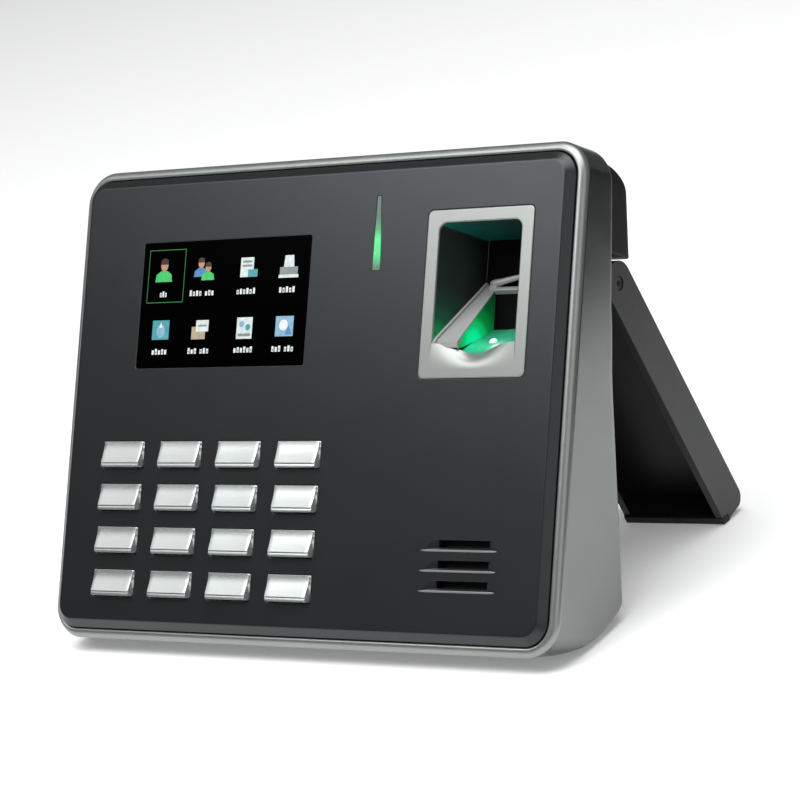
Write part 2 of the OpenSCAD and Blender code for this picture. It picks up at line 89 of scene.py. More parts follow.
def plastic(name, color, rough=0.4, metallic=0.0, grain=1500.0, bump=0.05, vary=0.06, rvary=0.06, wear=0.0, wear_col=None,
            spec=0.5, coat=0.0, coat_rough=0.1, big=60.0, dist=0.0002, emit=None, emit_strength=0.0, trans=0.0, ior=1.5, alpha=None, dust=0.0):
    if name in MATS:
        return MATS[name]
    m, nt, p = new_mat(name)
    L = nt.links.new
    tc = nt.nodes.new("ShaderNodeTexCoord")
    # colour: slow variation
    n1 = nt.nodes.new("ShaderNodeTexNoise")
    n1.inputs["Scale"].default_value = big
    n1.inputs["Detail"].default_value = 5
    L(tc.outputs["Object"], n1.inputs["Vector"])
    ramp = nt.nodes.new("ShaderNodeValToRGB")
    c = color
    ramp.color_ramp.elements[0].position = 0.3
    ramp.color_ramp.elements[1].position = 0.7
    ramp.color_ramp.elements[0].color = (c[0] * (1 - vary), c[1] * (1 - vary), c[2] * (1 - vary), 1)
    ramp.color_ramp.elements[1].color = (min(1, c[0] * (1 + vary)), min(1, c[1] * (1 + vary)), min(1, c[2] * (1 + vary)), 1)
    L(n1.outputs["Fac"], ramp.inputs["Fac"])
    col_out = ramp.outputs["Color"]
    if wear > 0:
        geo = nt.nodes.new("ShaderNodeNewGeometry")
        mr = nt.nodes.new("ShaderNodeMapRange")
        mr.inputs["From Min"].default_value = 0.505
        mr.inputs["From Max"].default_value = 0.58
        mr.inputs["To Min"].default_value = 0.0
        mr.inputs["To Max"].default_value = 1.0
        L(geo.outputs["Pointiness"], mr.inputs["Value"])
        n3 = nt.nodes.new("ShaderNodeTexNoise")
        n3.inputs["Scale"].default_value = 420
        n3.inputs["Detail"].default_value = 6
        L(tc.outputs["Object"], n3.inputs["Vector"])
        mul = nt.nodes.new("ShaderNodeMath")
        mul.operation = "MULTIPLY"
        L(mr.outputs[0], mul.inputs[0])
        L(n3.outputs["Fac"], mul.inputs[1])
        mul2 = nt.nodes.new("ShaderNodeMath")
        mul2.operation = "MULTIPLY"
        L(mul.outputs[0], mul2.inputs[0])
        mul2.inputs[1].default_value = wear
        mix = nt.nodes.new("ShaderNodeMix")
        mix.data_type = "RGBA"
        wc = wear_col or tuple(min(1, x * 1.6 + 0.03) for x in c)
        mix.inputs["B"].default_value = (*wc, 1)
        L(mul2.outputs[0], mix.inputs["Factor"])
        L(col_out, mix.inputs["A"])
        col_out = mix.outputs["Result"]
    L(col_out, p.inputs["Base Color"])
    # roughness: smudges and fine texture
    n2 = nt.nodes.new("ShaderNodeTexNoise")
    n2.inputs["Scale"].default_value = big * 2.4
    n2.inputs["Detail"].default_value = 8
    n2.inputs["Roughness"].default_value = 0.62
    L(tc.outputs["Object"], n2.inputs["Vector"])
    mr2 = nt.nodes.new("ShaderNodeMapRange")
    mr2.inputs["From Min"].default_value = 0.3
    mr2.inputs["From Max"].default_value = 0.7
    mr2.inputs["To Min"].default_value = max(0.02, rough - rvary)
    mr2.inputs["To Max"].default_value = min(1.0, rough + rvary)
    L(n2.outputs["Fac"], mr2.inputs["Value"])
    L(mr2.outputs[0], p.inputs["Roughness"])
    # grain
    if bump > 0:
        n4 = nt.nodes.new("ShaderNodeTexNoise")
        n4.inputs["Scale"].default_value = grain
        n4.inputs["Detail"].default_value = 3
        L(tc.outputs["Object"], n4.inputs["Vector"])
        bp = nt.nodes.new("ShaderNodeBump")
        bp.inputs["Strength"].default_value = bump
        bp.inputs["Distance"].default_value = dist
        L(n4.outputs["Fac"], bp.inputs["Height"])
        L(bp.outputs[0], p.inputs["Normal"])
    p.inputs["Metallic"].default_value = metallic
    p.inputs["Specular IOR Level"].default_value = spec
    p.inputs["IOR"].default_value = ior
    p.inputs["Coat Weight"].default_value = coat
    p.inputs["Coat Roughness"].default_value = coat_rough
    p.inputs["Transmission Weight"].default_value = trans
    if alpha is not None:
        p.inputs["Alpha"].default_value = alpha
    if emit is not None:
        p.inputs["Emission Color"].default_value = (*emit, 1)
        p.inputs["Emission Strength"].default_value = emit_strength
    MATS[name] = m
    return m


M_SHELL = plastic("silver_paint", (0.208, 0.220, 0.214), rough=0.235, metallic=0.95, grain=2600, bump=0.06, vary=0.02, rvary=0.02, wear=0.0, big=45, dist=0.00004)
M_RIM = plastic("rim_silver", (0.275, 0.29, 0.28), rough=0.36, metallic=0.78, grain=2600, bump=0.05, vary=0.03, rvary=0.03, wear=0.0, big=60, dist=0.00004)
M_PLATE = plastic("plate_black", (0.0072, 0.0076, 0.0088), rough=0.33, grain=2600, bump=0.10, vary=0.03, rvary=0.015, wear=0.0, spec=0.55, big=25, dist=0.00004)
M_COVER = plastic("cover_black", (0.0060, 0.0060, 0.0064), rough=0.5, spec=0.2, grain=1900, bump=0.2, vary=0.08, rvary=0.04, wear=0.0, wear_col=(0.07, 0.07, 0.07), big=50, dist=0.00010)
M_STAND = plastic("stand_black", (0.014, 0.0145, 0.0145), rough=0.42, grain=1900, bump=0.22, vary=0.08, rvary=0.03, wear=0.0, wear_col=(0.07, 0.07, 0.07), big=50, dist=0.00010)
M_KEY = plastic("key_silver", (0.50, 0.525, 0.515), rough=0.25, metallic=0.85, grain=3000, bump=0.006, vary=0.02, rvary=0.02, wear=0.0, big=60, dist=0.00002)
M_FRAME = plastic("frame_silver", (0.29, 0.305, 0.295), rough=0.34, metallic=0.6, grain=2400, bump=0.03, vary=0.015, rvary=0.015, wear=0.0, big=60, dist=0.00004)
# painted highlight: lighter, part-metallic grey for the speaker slots' lower edges, standing in for the light they
# catch
M_LIP_HIGHLIGHT = plastic("lip_painted_highlight", (0.20, 0.205, 0.20), rough=0.38, metallic=0.5, grain=1800, bump=0.04, vary=0.03, rvary=0.03, big=80, dist=0.00004)
# painted shade: a darker, duller copy of the black plastic for surfaces deep in shade (the well's right wall and back,
# the chamber's back sheet)
M_SHADE_BLACK = plastic("painted_shade_black", (0.0016, 0.0017, 0.0017), rough=0.7, grain=1900, bump=0.1, vary=0.1, rvary=0.05, spec=0.05, big=90, dist=0.00005)
M_LENS = plastic("lens_black", (0.0004, 0.0004, 0.0005), rough=0.12, grain=900, bump=0.01, vary=0.1, rvary=0.03, spec=0.01, big=70, dist=0.00003)
M_RUBBER = plastic("rubber_black", (0.010, 0.010, 0.0105), rough=0.72, grain=1400, bump=0.4, vary=0.15, rvary=0.1, big=120, dist=0.00012)
M_WELL = plastic("well_black", (0.0065, 0.007, 0.007), rough=0.6, grain=1900, bump=0.2, vary=0.1, rvary=0.05, spec=0.2, big=90, dist=0.00008)
M_SENSOR = plastic("sensor_grey", (0.33, 0.335, 0.33), rough=0.45, metallic=0.3, grain=2000, bump=0.06, vary=0.03, rvary=0.03, wear=0.0, big=110, dist=0.00005)
M_STEEL = plastic("pin_steel", (0.5, 0.5, 0.51), rough=0.3, metallic=1.0, grain=1200, bump=0.15, vary=0.06, rvary=0.08, big=200, dist=0.00005)
M_PLATED = plastic("plated_metal", (0.62, 0.62, 0.6), rough=0.24, metallic=1.0, grain=1400, bump=0.08, vary=0.04, rvary=0.08, big=200, dist=0.00005)
M_BOARD = plastic("board_green", (0.02, 0.10, 0.055), rough=0.35, grain=800, bump=0.2, vary=0.25, rvary=0.08, big=300, dist=0.0001)
M_CHIP = plastic("chip_black", (0.012, 0.012, 0.013), rough=0.55, grain=1500, bump=0.3, vary=0.15, rvary=0.08, big=200, dist=0.0001)
M_WHITE = plastic("white_film", (0.62, 0.61, 0.58), rough=0.5, grain=900, bump=0.15, vary=0.05, rvary=0.08, big=200, dist=0.0001)
M_AMBER = plastic("amber_film", (0.42, 0.19, 0.03), rough=0.3, grain=900, bump=0.1, vary=0.15, rvary=0.08, big=200, dist=0.0001)
M_SILICONE = plastic("silicone_grey", (0.22, 0.22, 0.23), rough=0.6, grain=1100, bump=0.2, vary=0.08, rvary=0.08, big=150, dist=0.0001)
M_MODULE = plastic("module_metal", (0.45, 0.46, 0.47), rough=0.3, metallic=0.9, grain=1200, bump=0.1, vary=0.05, rvary=0.08, big=150, dist=0.0001)
M_GLASS = plastic("prism_glass", (0.55, 0.9, 0.7), rough=0.06, grain=700, bump=0.02, vary=0.03, rvary=0.03, trans=0.9, ior=1.5, big=80, dist=0.00003)

SLOT_MATS = {
    "shell_silver": M_SHELL, "plate_black": M_PLATE, "cover_black": M_COVER, "key_silver": M_KEY, "frame_silver": M_FRAME,
    "lens_dark": M_LENS, "clear": M_GLASS, "light_clear": M_WHITE, "rubber_black": M_RUBBER, "steel": M_STEEL, "plated": M_PLATED,
    "board_green": M_BOARD, "chip_black": M_CHIP, "film_white": M_WHITE, "film_amber": M_AMBER, "silicone_grey": M_SILICONE,
    "module_grey": M_MODULE,
}
_slot_of = {s["node"]: s["material_slot"] for s in frame["record"]["subparts"]}
for _n, _o in frame["nodes"].items():
    _o.data.materials.clear()
    _o.data.materials.append(SLOT_MATS[_slot_of[_n]])


# ------------------------------------------------------------------ mesh helpers
def add_obj(name, verts, faces, mat, body="base", smooth=True, flat_faces=(), slot=None, replaces=()):
    me = bpy.data.meshes.new(name)
    me.from_pydata([tuple(v) for v in verts], [], [tuple(f) for f in faces])
    me.validate()
    me.update()
    bm = bmesh.new()
    bm.from_mesh(me)
    bmesh.ops.recalc_face_normals(bm, faces=bm.faces)
    bm.to_mesh(me)
    bm.free()
    for p in me.polygons:
        p.use_smooth = smooth
    for i in flat_faces:
        if i < len(me.polygons):
            me.polygons[i].use_smooth = False
    me.materials.append(mat)
    o = bpy.data.objects.new(name, me)
    bpy.context.scene.collection.objects.link(o)
    if body:
        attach(o, body)
    if replaces:
        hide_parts(*replaces)
    return o


def loft(rows, close_u=True, close_v=False, cap_start=False, cap_end=False, conv=D):
    """rows of (u, v, b) points, all the same length. Returns verts, faces."""
    n = len(rows[0])
    verts = [conv(*p) for r in rows for p in r]
    faces = []
    m = len(rows)
    for j in range(m if close_v else m - 1):
        j2 = (j + 1) % m
        for i in range(n if close_u else n - 1):
            i2 = (i + 1) % n
            faces.append((j * n + i, j * n + i2, j2 * n + i2, j2 * n + i))
    if cap_start:
        faces.append(tuple(range(n))[::-1])
    if cap_end:
        faces.append(tuple((m - 1) * n + i for i in range(n)))
    return verts, faces


def sharp_by_angle(o, deg=35):
    """Marks edges sharper than this as sharp, so flats stay flat and fillets stay smooth."""
    me = o.data
    bm = bmesh.new()
    bm.from_mesh(me)
    a = math.radians(deg)
    for e in bm.edges:
        if len(e.link_faces) == 2:
            e.smooth = e.calc_face_angle(0.0) < a
    bm.to_mesh(me)
    bm.free()
    return o


def rr(x0, z0, w, h, r, n=6, sub=1):
    """Rounded rectangle as a closed list of (x, z), anticlockwise from the lower right corner. r: one radius or (br, tr, tl, bl)."""
    if not hasattr(r, "__len__"):
        r = (r, r, r, r)
    pts = []
    cs = [(x0 + w - r[0], z0 + r[0], -90, r[0]), (x0 + w - r[1], z0 + h - r[1], 0, r[1]), (x0 + r[2], z0 + h - r[2], 90, r[2]), (x0 + r[3], z0 + r[3], 180, r[3])]
    for k, (cx, cz, a0, rad) in enumerate(cs):
        arc = [(cx + rad * math.cos(math.radians(a0 + 90 * i / n)), cz + rad * math.sin(math.radians(a0 + 90 * i / n))) for i in range(n + 1)]
        pts += arc
        nx = cs[(k + 1) % 4]
        nxt = (nx[0] + nx[3] * math.cos(math.radians(nx[2])), nx[1] + nx[3] * math.sin(math.radians(nx[2])))
        for s in range(1, sub):
            f = s / sub
            pts.append((arc[-1][0] * (1 - f) + nxt[0] * f, arc[-1][1] * (1 - f) + nxt[1] * f))
    return pts


def rr_in(x0, z0, w, h, r, d, n=6, sub=1):
    """The same rounded rectangle, moved inwards by d (outwards if negative)."""
    rad = r if hasattr(r, "__len__") else (r, r, r, r)
    return rr(x0 + d, z0 + d, w - 2 * d, h - 2 * d, tuple(max(0.02, q - d) for q in rad), n, sub)


def fillet(r, n, a0=0.0, a1=90.0):
    """(inwards, back) offsets of a quarter round between a face and a wall: starts on the face, ends on the wall."""
    out = []
    for i in range(n + 1):
        a = math.radians(a0 + (a1 - a0) * i / n)
        out.append((r * math.sin(a), r * (1 - math.cos(a))))
    return out


def flat_fill(loops2d, b):
    """Fills the area between the first loop and the others. loops2d hold (x, z). Returns verts (u, v, b) and triangles."""
    vs = [[Vector((x, z, 0)) for x, z in lp] for lp in loops2d]
    tris = tessellate_polygon(vs)
    pts = [(p[0], p[1], b) for lp in loops2d for p in lp]
    return pts, tris


class Builder:
    """Collects lofts and fills into one mesh, then welds them."""

    def __init__(self):
        self.v, self.f, self.flat, self.mi = [], [], [], []
        self.cur = 0

    def add(self, pts, faces, flat=False, conv=D):
        k = len(self.v)
        self.v += [conv(*p) for p in pts]
        for f in faces:
            if flat:
                self.flat.append(len(self.f))
            self.f.append(tuple(i + k for i in f))
            self.mi.append(self.cur)

    def rows(self, rows, close_u=True, flat=False, conv=D):
        n = len(rows[0])
        pts = [p for r in rows for p in r]
        faces = []
        for j in range(len(rows) - 1):
            for i in range(n if close_u else n - 1):
                i2 = (i + 1) % n
                faces.append((j * n + i, j * n + i2, (j + 1) * n + i2, (j + 1) * n + i))
        self.add(pts, faces, flat, conv)

    def poly(self, pts, flat=True, conv=D):
        self.add(pts, [tuple(range(len(pts)))], flat, conv)

    def box(self, x0, x1, b0, b1, z0, z1, r=0.3, conv=D):
        """A block with small rounded edges, drawn as stacked rounded rectangles."""
        prof = [(q, b0 + r - math.sqrt(max(0.0, r * r - (r - q) ** 2))) for q in (r, r * 0.6, r * 0.25, 0)]
        rows = []
        for q, b in prof:
            rows.append([(x, z, b) for x, z in rr_in(x0, z0, x1 - x0, z1 - z0, r + 0.05, q, 3)])
        for q, b in prof[::-1]:
            rows.append([(x, z, b1 - (b - b0)) for x, z in rr_in(x0, z0, x1 - x0, z1 - z0, r + 0.05, q, 3)])
        self.rows(rows, conv=conv)
        self.poly(rows[0], conv=conv)
        self.poly(rows[-1], conv=conv)

    def make(self, name, mat, body="base", weld=2e-6, angle=40, replaces=(), slot=None, mats=None):
        me = bpy.data.meshes.new(name)
        me.from_pydata([tuple(v) for v in self.v], [], self.f)
        for i, p in enumerate(me.polygons):
            p.use_smooth = True
            p.material_index = self.mi[i]
        for i in self.flat:
            me.polygons[i].use_smooth = False
        bm = bmesh.new()
        bm.from_mesh(me)
        bmesh.ops.remove_doubles(bm, verts=bm.verts, dist=weld)
        bmesh.ops.dissolve_degenerate(bm, edges=bm.edges, dist=1e-7)
        bmesh.ops.recalc_face_normals(bm, faces=bm.faces)
        a = math.radians(angle)
        for e in bm.edges:
            if len(e.link_faces) == 2:
                e.smooth = e.calc_face_angle(0.0) < a
        bm.to_mesh(me)
        bm.free()
        for m in (mats or [mat]):
            me.materials.append(m)
        o = bpy.data.objects.new(name, me)
        bpy.context.scene.collection.objects.link(o)
        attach(o, body)
        if replaces:
            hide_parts(*replaces)
        return o


# ------------------------------------------------------------------ body profile
ARC_R, RUN_B, RUN_V = 42.2, 14.0, 4.7
A0 = math.atan2(RUN_V, RUN_B)
ARC_C = (RUN_B - ARC_R * math.sin(A0), RUN_V + ARC_R * math.cos(A0))
REAR_LOW = (ARC_C[0] + ARC_R * math.sin(A0 + math.radians(31.7)), ARC_C[1] - ARC_R * math.cos(A0 + math.radians(31.7)))
REAR_MID, REAR_TOP = (16.7, 97.0), (12.2, 139.5)
W2, H = 90.0, 140.0


def bot(b):
    if b <= RUN_B:
        return RUN_V * max(b, 0) / RUN_B
    x = min(b, ARC_C[0] + ARC_R - 0.01) - ARC_C[0]
    return ARC_C[1] - math.sqrt(ARC_R ** 2 - x * x)


def rear(v):
    if v >= REAR_MID[1]:
        f = (v - REAR_MID[1]) / (REAR_TOP[1] - REAR_MID[1])
        return REAR_MID[0] + (REAR_TOP[0] - REAR_MID[0]) * f
    f = (v - REAR_LOW[1]) / (REAR_MID[1] - REAR_LOW[1])
    return REAR_LOW[0] + (REAR_MID[0] - REAR_LOW[0]) * f


def section(b, d=0.0):
    """Outline of the shell at depth b, moved inwards by d: closed list of (u, v), starting at the bottom centre, going right."""
    f = min(1.0, max(0.0, b / 16.0))
    f = f * f * (3 - 2 * f)
    rb = 10.0 + (3.2 - 10.0) * f
    rt = 10.0
    k = max(0.0, 1 - d / 2.75)                      # the inner wall keeps its place
    g = min(1.0, max(0.0, b / 9.0))
    v0 = bot(b) + d - 1.25 * g * g * (3 - 2 * g) * k
    v1 = H - d
    w = W2 - d
    rb, rt = max(rb - d, 0.3), max(rt - d, 0.3)
    half = []
    nb, nc, ns = 10, 12, 26
    for i in range(nb):
        half.append(((w - rb) * i / nb, v0))
    for i in range(nc):
        a = math.radians(-90 + 90 * i / nc)
        half.append((w - rb + rb * math.cos(a), v0 + rb + rb * math.sin(a)))
    for i in range(ns):
        f2 = i / ns
        half.append((w, (v0 + rb) * (1 - f2) + (v1 - rt) * f2))
    for i in range(nc):
        a = math.radians(90 * i / nc)
        half.append((w - rt + rt * math.cos(a), v1 - rt + rt * math.sin(a)))
    for i in range(nb + 1):
        half.append(((w - rt) * (1 - i / nb), v1))
    # the left edge is a little slimmer, more so towards the bottom
    return half + [(-x * (1 - k * (1.35 - 0.85 * v / H) / W2), v) for x, v in half[-2:0:-1]]


def build_shell():
    n = len(section(0))
    ends = []
    for i in range(n):
        b = 20.0
        for _ in range(40):
            v = section(b)[i][1]
            b = 0.5 * b + 0.5 * rear(v)
        ends.append(b)
    rows = []
    # groove wall and rim
    for d, b in ((2.8, 4.0), (2.8, 3.0), (2.8, 0.5), (2.74, 0.25), (2.6, 0.1), (2.4, 0.03), (2.15, 0.0), (1.85, 0.02), (1.5, 0.1), (1.15, 0.25), (0.8, 0.48), (0.48, 0.8), (0.2, 1.25), (0.0, 1.85)):
        rows.append([(u, v, b) for u, v in section(max(b, 0) if d < 0.01 else 0.0 if b < 1.3 else b, d)])
    m = 26
    wall = []
    for j in range(1, m + 1):
        r = []
        for i in range(n):
            v_end = section(ends[i])[i][1]
            re = 0.3 + 1.7 * max(0.0, min(1.0, (92 - v_end) / 14))
            b1 = ends[i] - re
            b = 1.85 + (b1 - 1.85) * j / m
            u, v = section(b)[i]
            r.append((u, v, b))
        wall.append(r)
    rows += wall
    # rounded rear edge, rear face, inner wall
    for k in range(1, 6):
        a = math.radians(90 * k / 5)
        r = []
        for i in range(n):
            v_end = section(ends[i])[i][1]
            re = 0.3 + 1.7 * max(0.0, min(1.0, (92 - v_end) / 14))
            d = re * (1 - math.cos(a))
            b = ends[i] - re + re * math.sin(a)
            u, v = section(b, d)[i]
            r.append((u, v, b))
        rows.append(r)
    r = []
    for i in range(n):
        u, v = section(ends[i], 2.75)[i]
        r.append((u, v, rear(v) if v < 137 else ends[i]))
    rows.append(r)
    r = []
    for i in range(n):
        u, v = section(max(0, ends[i] - 6), 2.75)[i]
        r.append((u, v, ends[i] - 6))
    rows.append(r)
    B = Builder()
    B.rows(rows[13:] + [rows[0]])
    B.cur = 1
    B.rows(rows[:14])
    o = B.make("shell", M_SHELL, angle=50, mats=[M_SHELL, M_RIM], weld=4e-6, replaces=("bezel_shell",), slot="shell_silver")
    # openings in the left flank for the data socket and the power inlet
    cut = []
    for name, outline in (("cut_data", rr_in(7.7, 60.2, 6.2, 13.8, 0.5, 0, 4)), ("cut_power", [(9 + 3.6 * math.cos(2 * math.pi * k / 40), 50 + 3.6 * math.sin(2 * math.pi * k / 40)) for k in range(40)])):
        C = bpy.data.meshes.new(name)
        n2 = len(outline)
        C.from_pydata([tuple(D(x, v, b)) for x in (-94.0, -84.0) for b, v in outline], [], [tuple(range(n2)), tuple(range(2 * n2 - 1, n2 - 1, -1))] + [(k, n2 + k, n2 + (k + 1) % n2, (k + 1) % n2) for k in range(n2)])
        bm = bmesh.new()
        bm.from_mesh(C)
        bmesh.ops.recalc_face_normals(bm, faces=bm.faces)
        bm.to_mesh(C)
        bm.free()
        c = bpy.data.objects.new(name, C)
        bpy.context.scene.collection.objects.link(c)
        cut.append(c)
        m = o.modifiers.new(name, "BOOLEAN")
        m.operation = "DIFFERENCE"
        m.solver = "EXACT"
        m.object = c
    bpy.context.view_layer.update()
    dg = bpy.context.evaluated_depsgraph_get()
    me = bpy.data.meshes.new_from_object(o.evaluated_get(dg))
    o.modifiers.clear()
    if len(me.polygons) > 0.8 * len(o.data.polygons):
        o.data = me
    for c in cut:
        C = c.data
        bpy.data.objects.remove(c)
        bpy.data.meshes.remove(C)
    return o


build_shell()

for n_ in M_PLATE.node_tree.nodes:
    if n_.type == "BSDF_PRINCIPLED":
        n_.inputs["Specular Tint"].default_value = (0.90, 0.97, 1.0, 1)

# ------------------------------------------------------------------ front plate
KX0, KZ0, KPX, KPZ, KW, KH = -72.4, 58.1, 21.8, 12.6, 15.5, 7.7
LX0, LZ0, LW, LH = -62.7, 79.8, 62.4, 37.2
FX0, FZ0, FW, FH = 40.4, 75.2, 35.2, 46.9
GUIDE = [(22.0, 106.0), (24.65, 106.0), (23.5, 127.15), (22.2, 127.15)]
SLOT_Z = (17.4, 22.95, 28.5)
PB = -2.0   # depth of the plate's flat face


def offset_poly(pts, d):
    """Moves each edge of an anticlockwise polygon inwards by d."""
    n = len(pts)
    out = []
    for i in range(n):
        p0, p1, p2 = Vector(pts[i - 1]), Vector(pts[i]), Vector(pts[(i + 1) % n])
        e1, e2 = (p1 - p0).normalized(), (p2 - p1).normalized()
        n1, n2 = Vector((-e1.y, e1.x)), Vector((-e2.y, e2.x))
        k = 1 + n1.dot(n2)
        out.append(tuple(p1 + (n1 + n2) * (d / max(k, 0.2))))
    return out


def round_poly(pts, r, n=4):
    """Rounds the corners of an anticlockwise convex polygon."""
    out = []
    m = len(pts)
    for i in range(m):
        p0, p1, p2 = Vector(pts[i - 1]), Vector(pts[i]), Vector(pts[(i + 1) % m])
        e1, e2 = (p0 - p1).normalized(), (p2 - p1).normalized()
        ang = e1.angle(e2)
        t = min(r / math.tan(ang / 2), (p0 - p1).length * 0.45, (p2 - p1).length * 0.45)
        a, c = p1 + e1 * t, p1 + e2 * t
        for k in range(n + 1):
            f = k / n
            out.append(tuple(a * (1 - f) ** 2 + p1 * 2 * f * (1 - f) + c * f * f))
    return out


def hole_rows(B, shape, rim, wall_b, grow=True):
    """A rounded hole edge: starts on the face plane grown by rim, rolls into the wall, goes back to wall_b."""
    rows = []
    for i in range(5):
        a = math.radians(90 * i / 4)
        d = rim * (1 - math.sin(a))
        b = PB + rim * (1 - math.cos(a))
        rows.append([(x, z, b) for x, z in shape(-d)])
    rows.append([(x, z, wall_b) for x, z in shape(0.0)])
    B.rows(rows)
    return [(p[0], p[1]) for p in rows[0]]


def build_plate():
    B = Builder()
    w, h = 2 * W2 - 5.4, H - 6.2
    o = lambda d: rr_in(-W2 + 2.3, 3.1, w, h, 7.0, d, 10, 1)
    rows = []
    # edge, then the rounded bevel up to the flat face
    prof = [(0.0, 0.4), (0.0, 0.12), (0.03, -0.02), (0.12, -0.14)]
    for k in range(0, 9):
        f = k / 8
        d = 0.25 + 2.0 * f
        b = -0.24 - 1.62 * f
        prof.append((d, b))
    prof += [(2.4, -1.94), (2.6, -1.985), (2.85, PB)]
    for d, b in prof:
        rows.append([(x, z, b) for x, z in o(d)])
    B.rows(rows)
    outer = [(p[0], p[1]) for p in rows[-1]]
    loops = [outer]
    # screen pocket
    loops.append(hole_rows(B, lambda d: rr_in(LX0 - 0.12, LZ0 - 0.12, LW + 0.24, LH + 0.24, 0.7, d, 4), 0.18, -0.4))
    # fingerprint frame pocket
    loops.append(hole_rows(B, lambda d: rr_in(FX0 - 0.14, FZ0 - 0.14, FW + 0.28, FH + 0.28, 1.7, d, 6), 0.22, -1.1))
    for r in range(4):
        for c in range(4):
            x, z = KX0 + c * KPX, KZ0 - r * KPZ - KH
            loops.append(hole_rows(B, lambda d, x=x, z=z: rr_in(x - 0.25, z - 0.25, KW + 0.5, KH + 0.5, 0.9, d, 4), 0.18, 0.35))
    loops.append(hole_rows(B, lambda d: round_poly(offset_poly([(21.86, 105.86), (24.8, 105.86), (23.64, 127.28), (22.06, 127.28)], d), 0.25, 3), 0.12, 0.3))
    for z in SLOT_Z:
        loops.append(slot_rows(B, z))
    pts, tris = flat_fill(loops, PB)
    B.add(pts, tris, flat=True)
    # screen pocket floor, so nothing is seen through the gaps
    B.poly([(x, z, -0.42) for x, z in rr(LX0 - 0.3, LZ0 - 0.3, LW + 0.6, LH + 0.6, 0.7, 3)])
    return B.make("plate", M_PLATE, angle=40, replaces=("front_plate",), slot="plate_black")


def slot_rows(B, z):
    """A speaker slot: a dark opening above a wider scooped lip whose lower edge catches the light."""
    top = z + 2.6
    out = [(46.0, z - 0.45), (70.1, z - 0.45), (68.6, top), (49.6, top)]
    roll = []
    for i in range(4):
        a = math.radians(90 * i / 3)
        d = 0.10 * math.sin(a)
        b = PB + 0.10 * (1 - math.cos(a))
        roll.append([(x, zz, b) for x, zz in round_poly(offset_poly(out, d), 0.35, 3)])
    face = [(p[0], p[1]) for p in roll[0]]
    B.rows(roll)
    last = roll[-1]
    # scoop: shallow at the sides, sloping down to the narrower opening
    inner = []
    for x, zz, b in last:
        f = max(0.0, min(1.0, (zz - (z - 0.35)) / 1.0))
        nx = max(50.9, min(67.7, x + (59.3 - x) * 0.06))
        side = min(1.0, abs(nx - x) / 3.0)
        inner.append((nx, zz + 0.75 * (1 - f) - 0.05 * f, b + 0.55 + 0.2 * side))
    B.rows([last, inner])
    B.rows([inner, [(p[0], p[1], 0.6) for p in inner]])
    return face


def slot_lips():
    """Thin ridges along the lower edges of the speaker slots, in a lighter part-metallic grey: a painted highlight for
    the light these edges catch.
    """
    B = Builder()
    for z in SLOT_Z:
        rows = []
        n = 24
        for i in range(n + 1):
            x = 45.5 + 25.0 * i / n
            e = min(1.0, (x - 45.3) / 1.6, (70.7 - x) / 1.6)
            h = 0.30 * max(0.15, e) ** 0.6
            rows.append([(x, z - 0.42 + h * math.cos(t), PB - 0.02 - 0.16 * max(0.0, math.sin(t)) * e + 0.25 * max(0.0, -math.sin(t))) for t in [math.pi * 2 * k / 10 for k in range(10)]])
        B.rows(rows)
        B.poly(rows[0])
        B.poly(rows[-1])
    return B.make("speaker_lips", M_LIP_HIGHLIGHT, slot="plate_black", angle=50)


build_plate()
slot_lips()


# ------------------------------------------------------------------ keys
def build_key(node, c, r):
    x0, z1 = KX0 + c * KPX, KZ0 - r * KPZ
    z0 = z1 - KH
    B = Builder()
    NA, NS = 5, 14
    xc = x0 + KW / 2
    zt, zf = z1 - 0.02, z0 + 1.22          # top and front edges of the cap

    def face_b(z):
        """Depth of the face: nearly level along the top, then rising to the front edge."""
        t = (zt - z) / (zt - zf)
        k = 0.34
        w_ = 0.34
        f = t - k
        soft = 0.5 * (f + math.sqrt(f * f + w_ * w_))       # smooth ramp after k
        s0 = 0.5 * (-k + math.sqrt(k * k + w_ * w_))
        return -2.30 - 0.16 * t - 1.46 * (soft - s0) / (1 - k)

    def cap(d, zlow=zf):
        pts = rr_in(x0 + 0.05, zlow, KW - 0.35, zt - zlow, 0.42, d, NA, NS)
        out = []
        for x, z in pts:
            f = (zt - z) / (zt - zf)
            out.append((xc + (x - xc) * (1 - 0.045 * f), z))
        return out

    def base(d, b):
        return [(x, z, b) for x, z in rr_in(x0, z0, KW, KH, 0.75, d, NA, NS)]

    def wedge(zlow, d, off):
        out = []
        for x, z in cap(d, zlow):
            f = max(0.0, min(1.0, (zt - z) / (zt - z0)))
            out.append((x, z, min(-2.05, -2.20 - 1.62 * f ** 1.25 + off)))
        return out

    # sides rise as a wedge; a thin groove parts the front strip from the sloping face
    lip = [(x, z, min(-2.27, face_b(z) + 0.20)) for x, z in cap(0.02, zf)]
    B.rows([base(0.0, 1.5), base(0.0, -2.0), wedge(z0 + 0.02, 0.0, 0.30), wedge(z0 + 0.10, 0.04, 0.08), wedge(z0 + 0.24, 0.12, 0.0), wedge(zf - 0.36, 0.14, 0.0),
            wedge(zf - 0.30, 0.2, 0.10), wedge(zf - 0.26, 0.3, 0.55), wedge(zf - 0.06, 0.3, 0.55), lip])
    top = [lip]
    for i in range(1, 6):
        a = math.radians(90 * i / 5)
        d = 0.16 * (1 - math.cos(a))
        top.append([(x, z, face_b(z) + 0.20 - 0.20 * math.sin(a)) for x, z in cap(d + 0.02)])
    B.rows(top)
    ring = top[-1]
    m = 2 * (NA + 1) + NS - 1
    right = ring[:m]
    left = ring[m + NS - 1:2 * m + NS - 1][::-1]
    grid = []
    for (xa, z, b), (xb, _, _) in zip(left, right):
        grid.append([(xa + (xb - xa) * k / 12, z, b + 0.05 * (1 - (k / 6 - 1) ** 2)) for k in range(13)])
    B.rows(grid, close_u=False)
    return B.make("keycap_" + node[4:], M_KEY, body="b_" + node, angle=30, replaces=(node,), slot="key_silver")


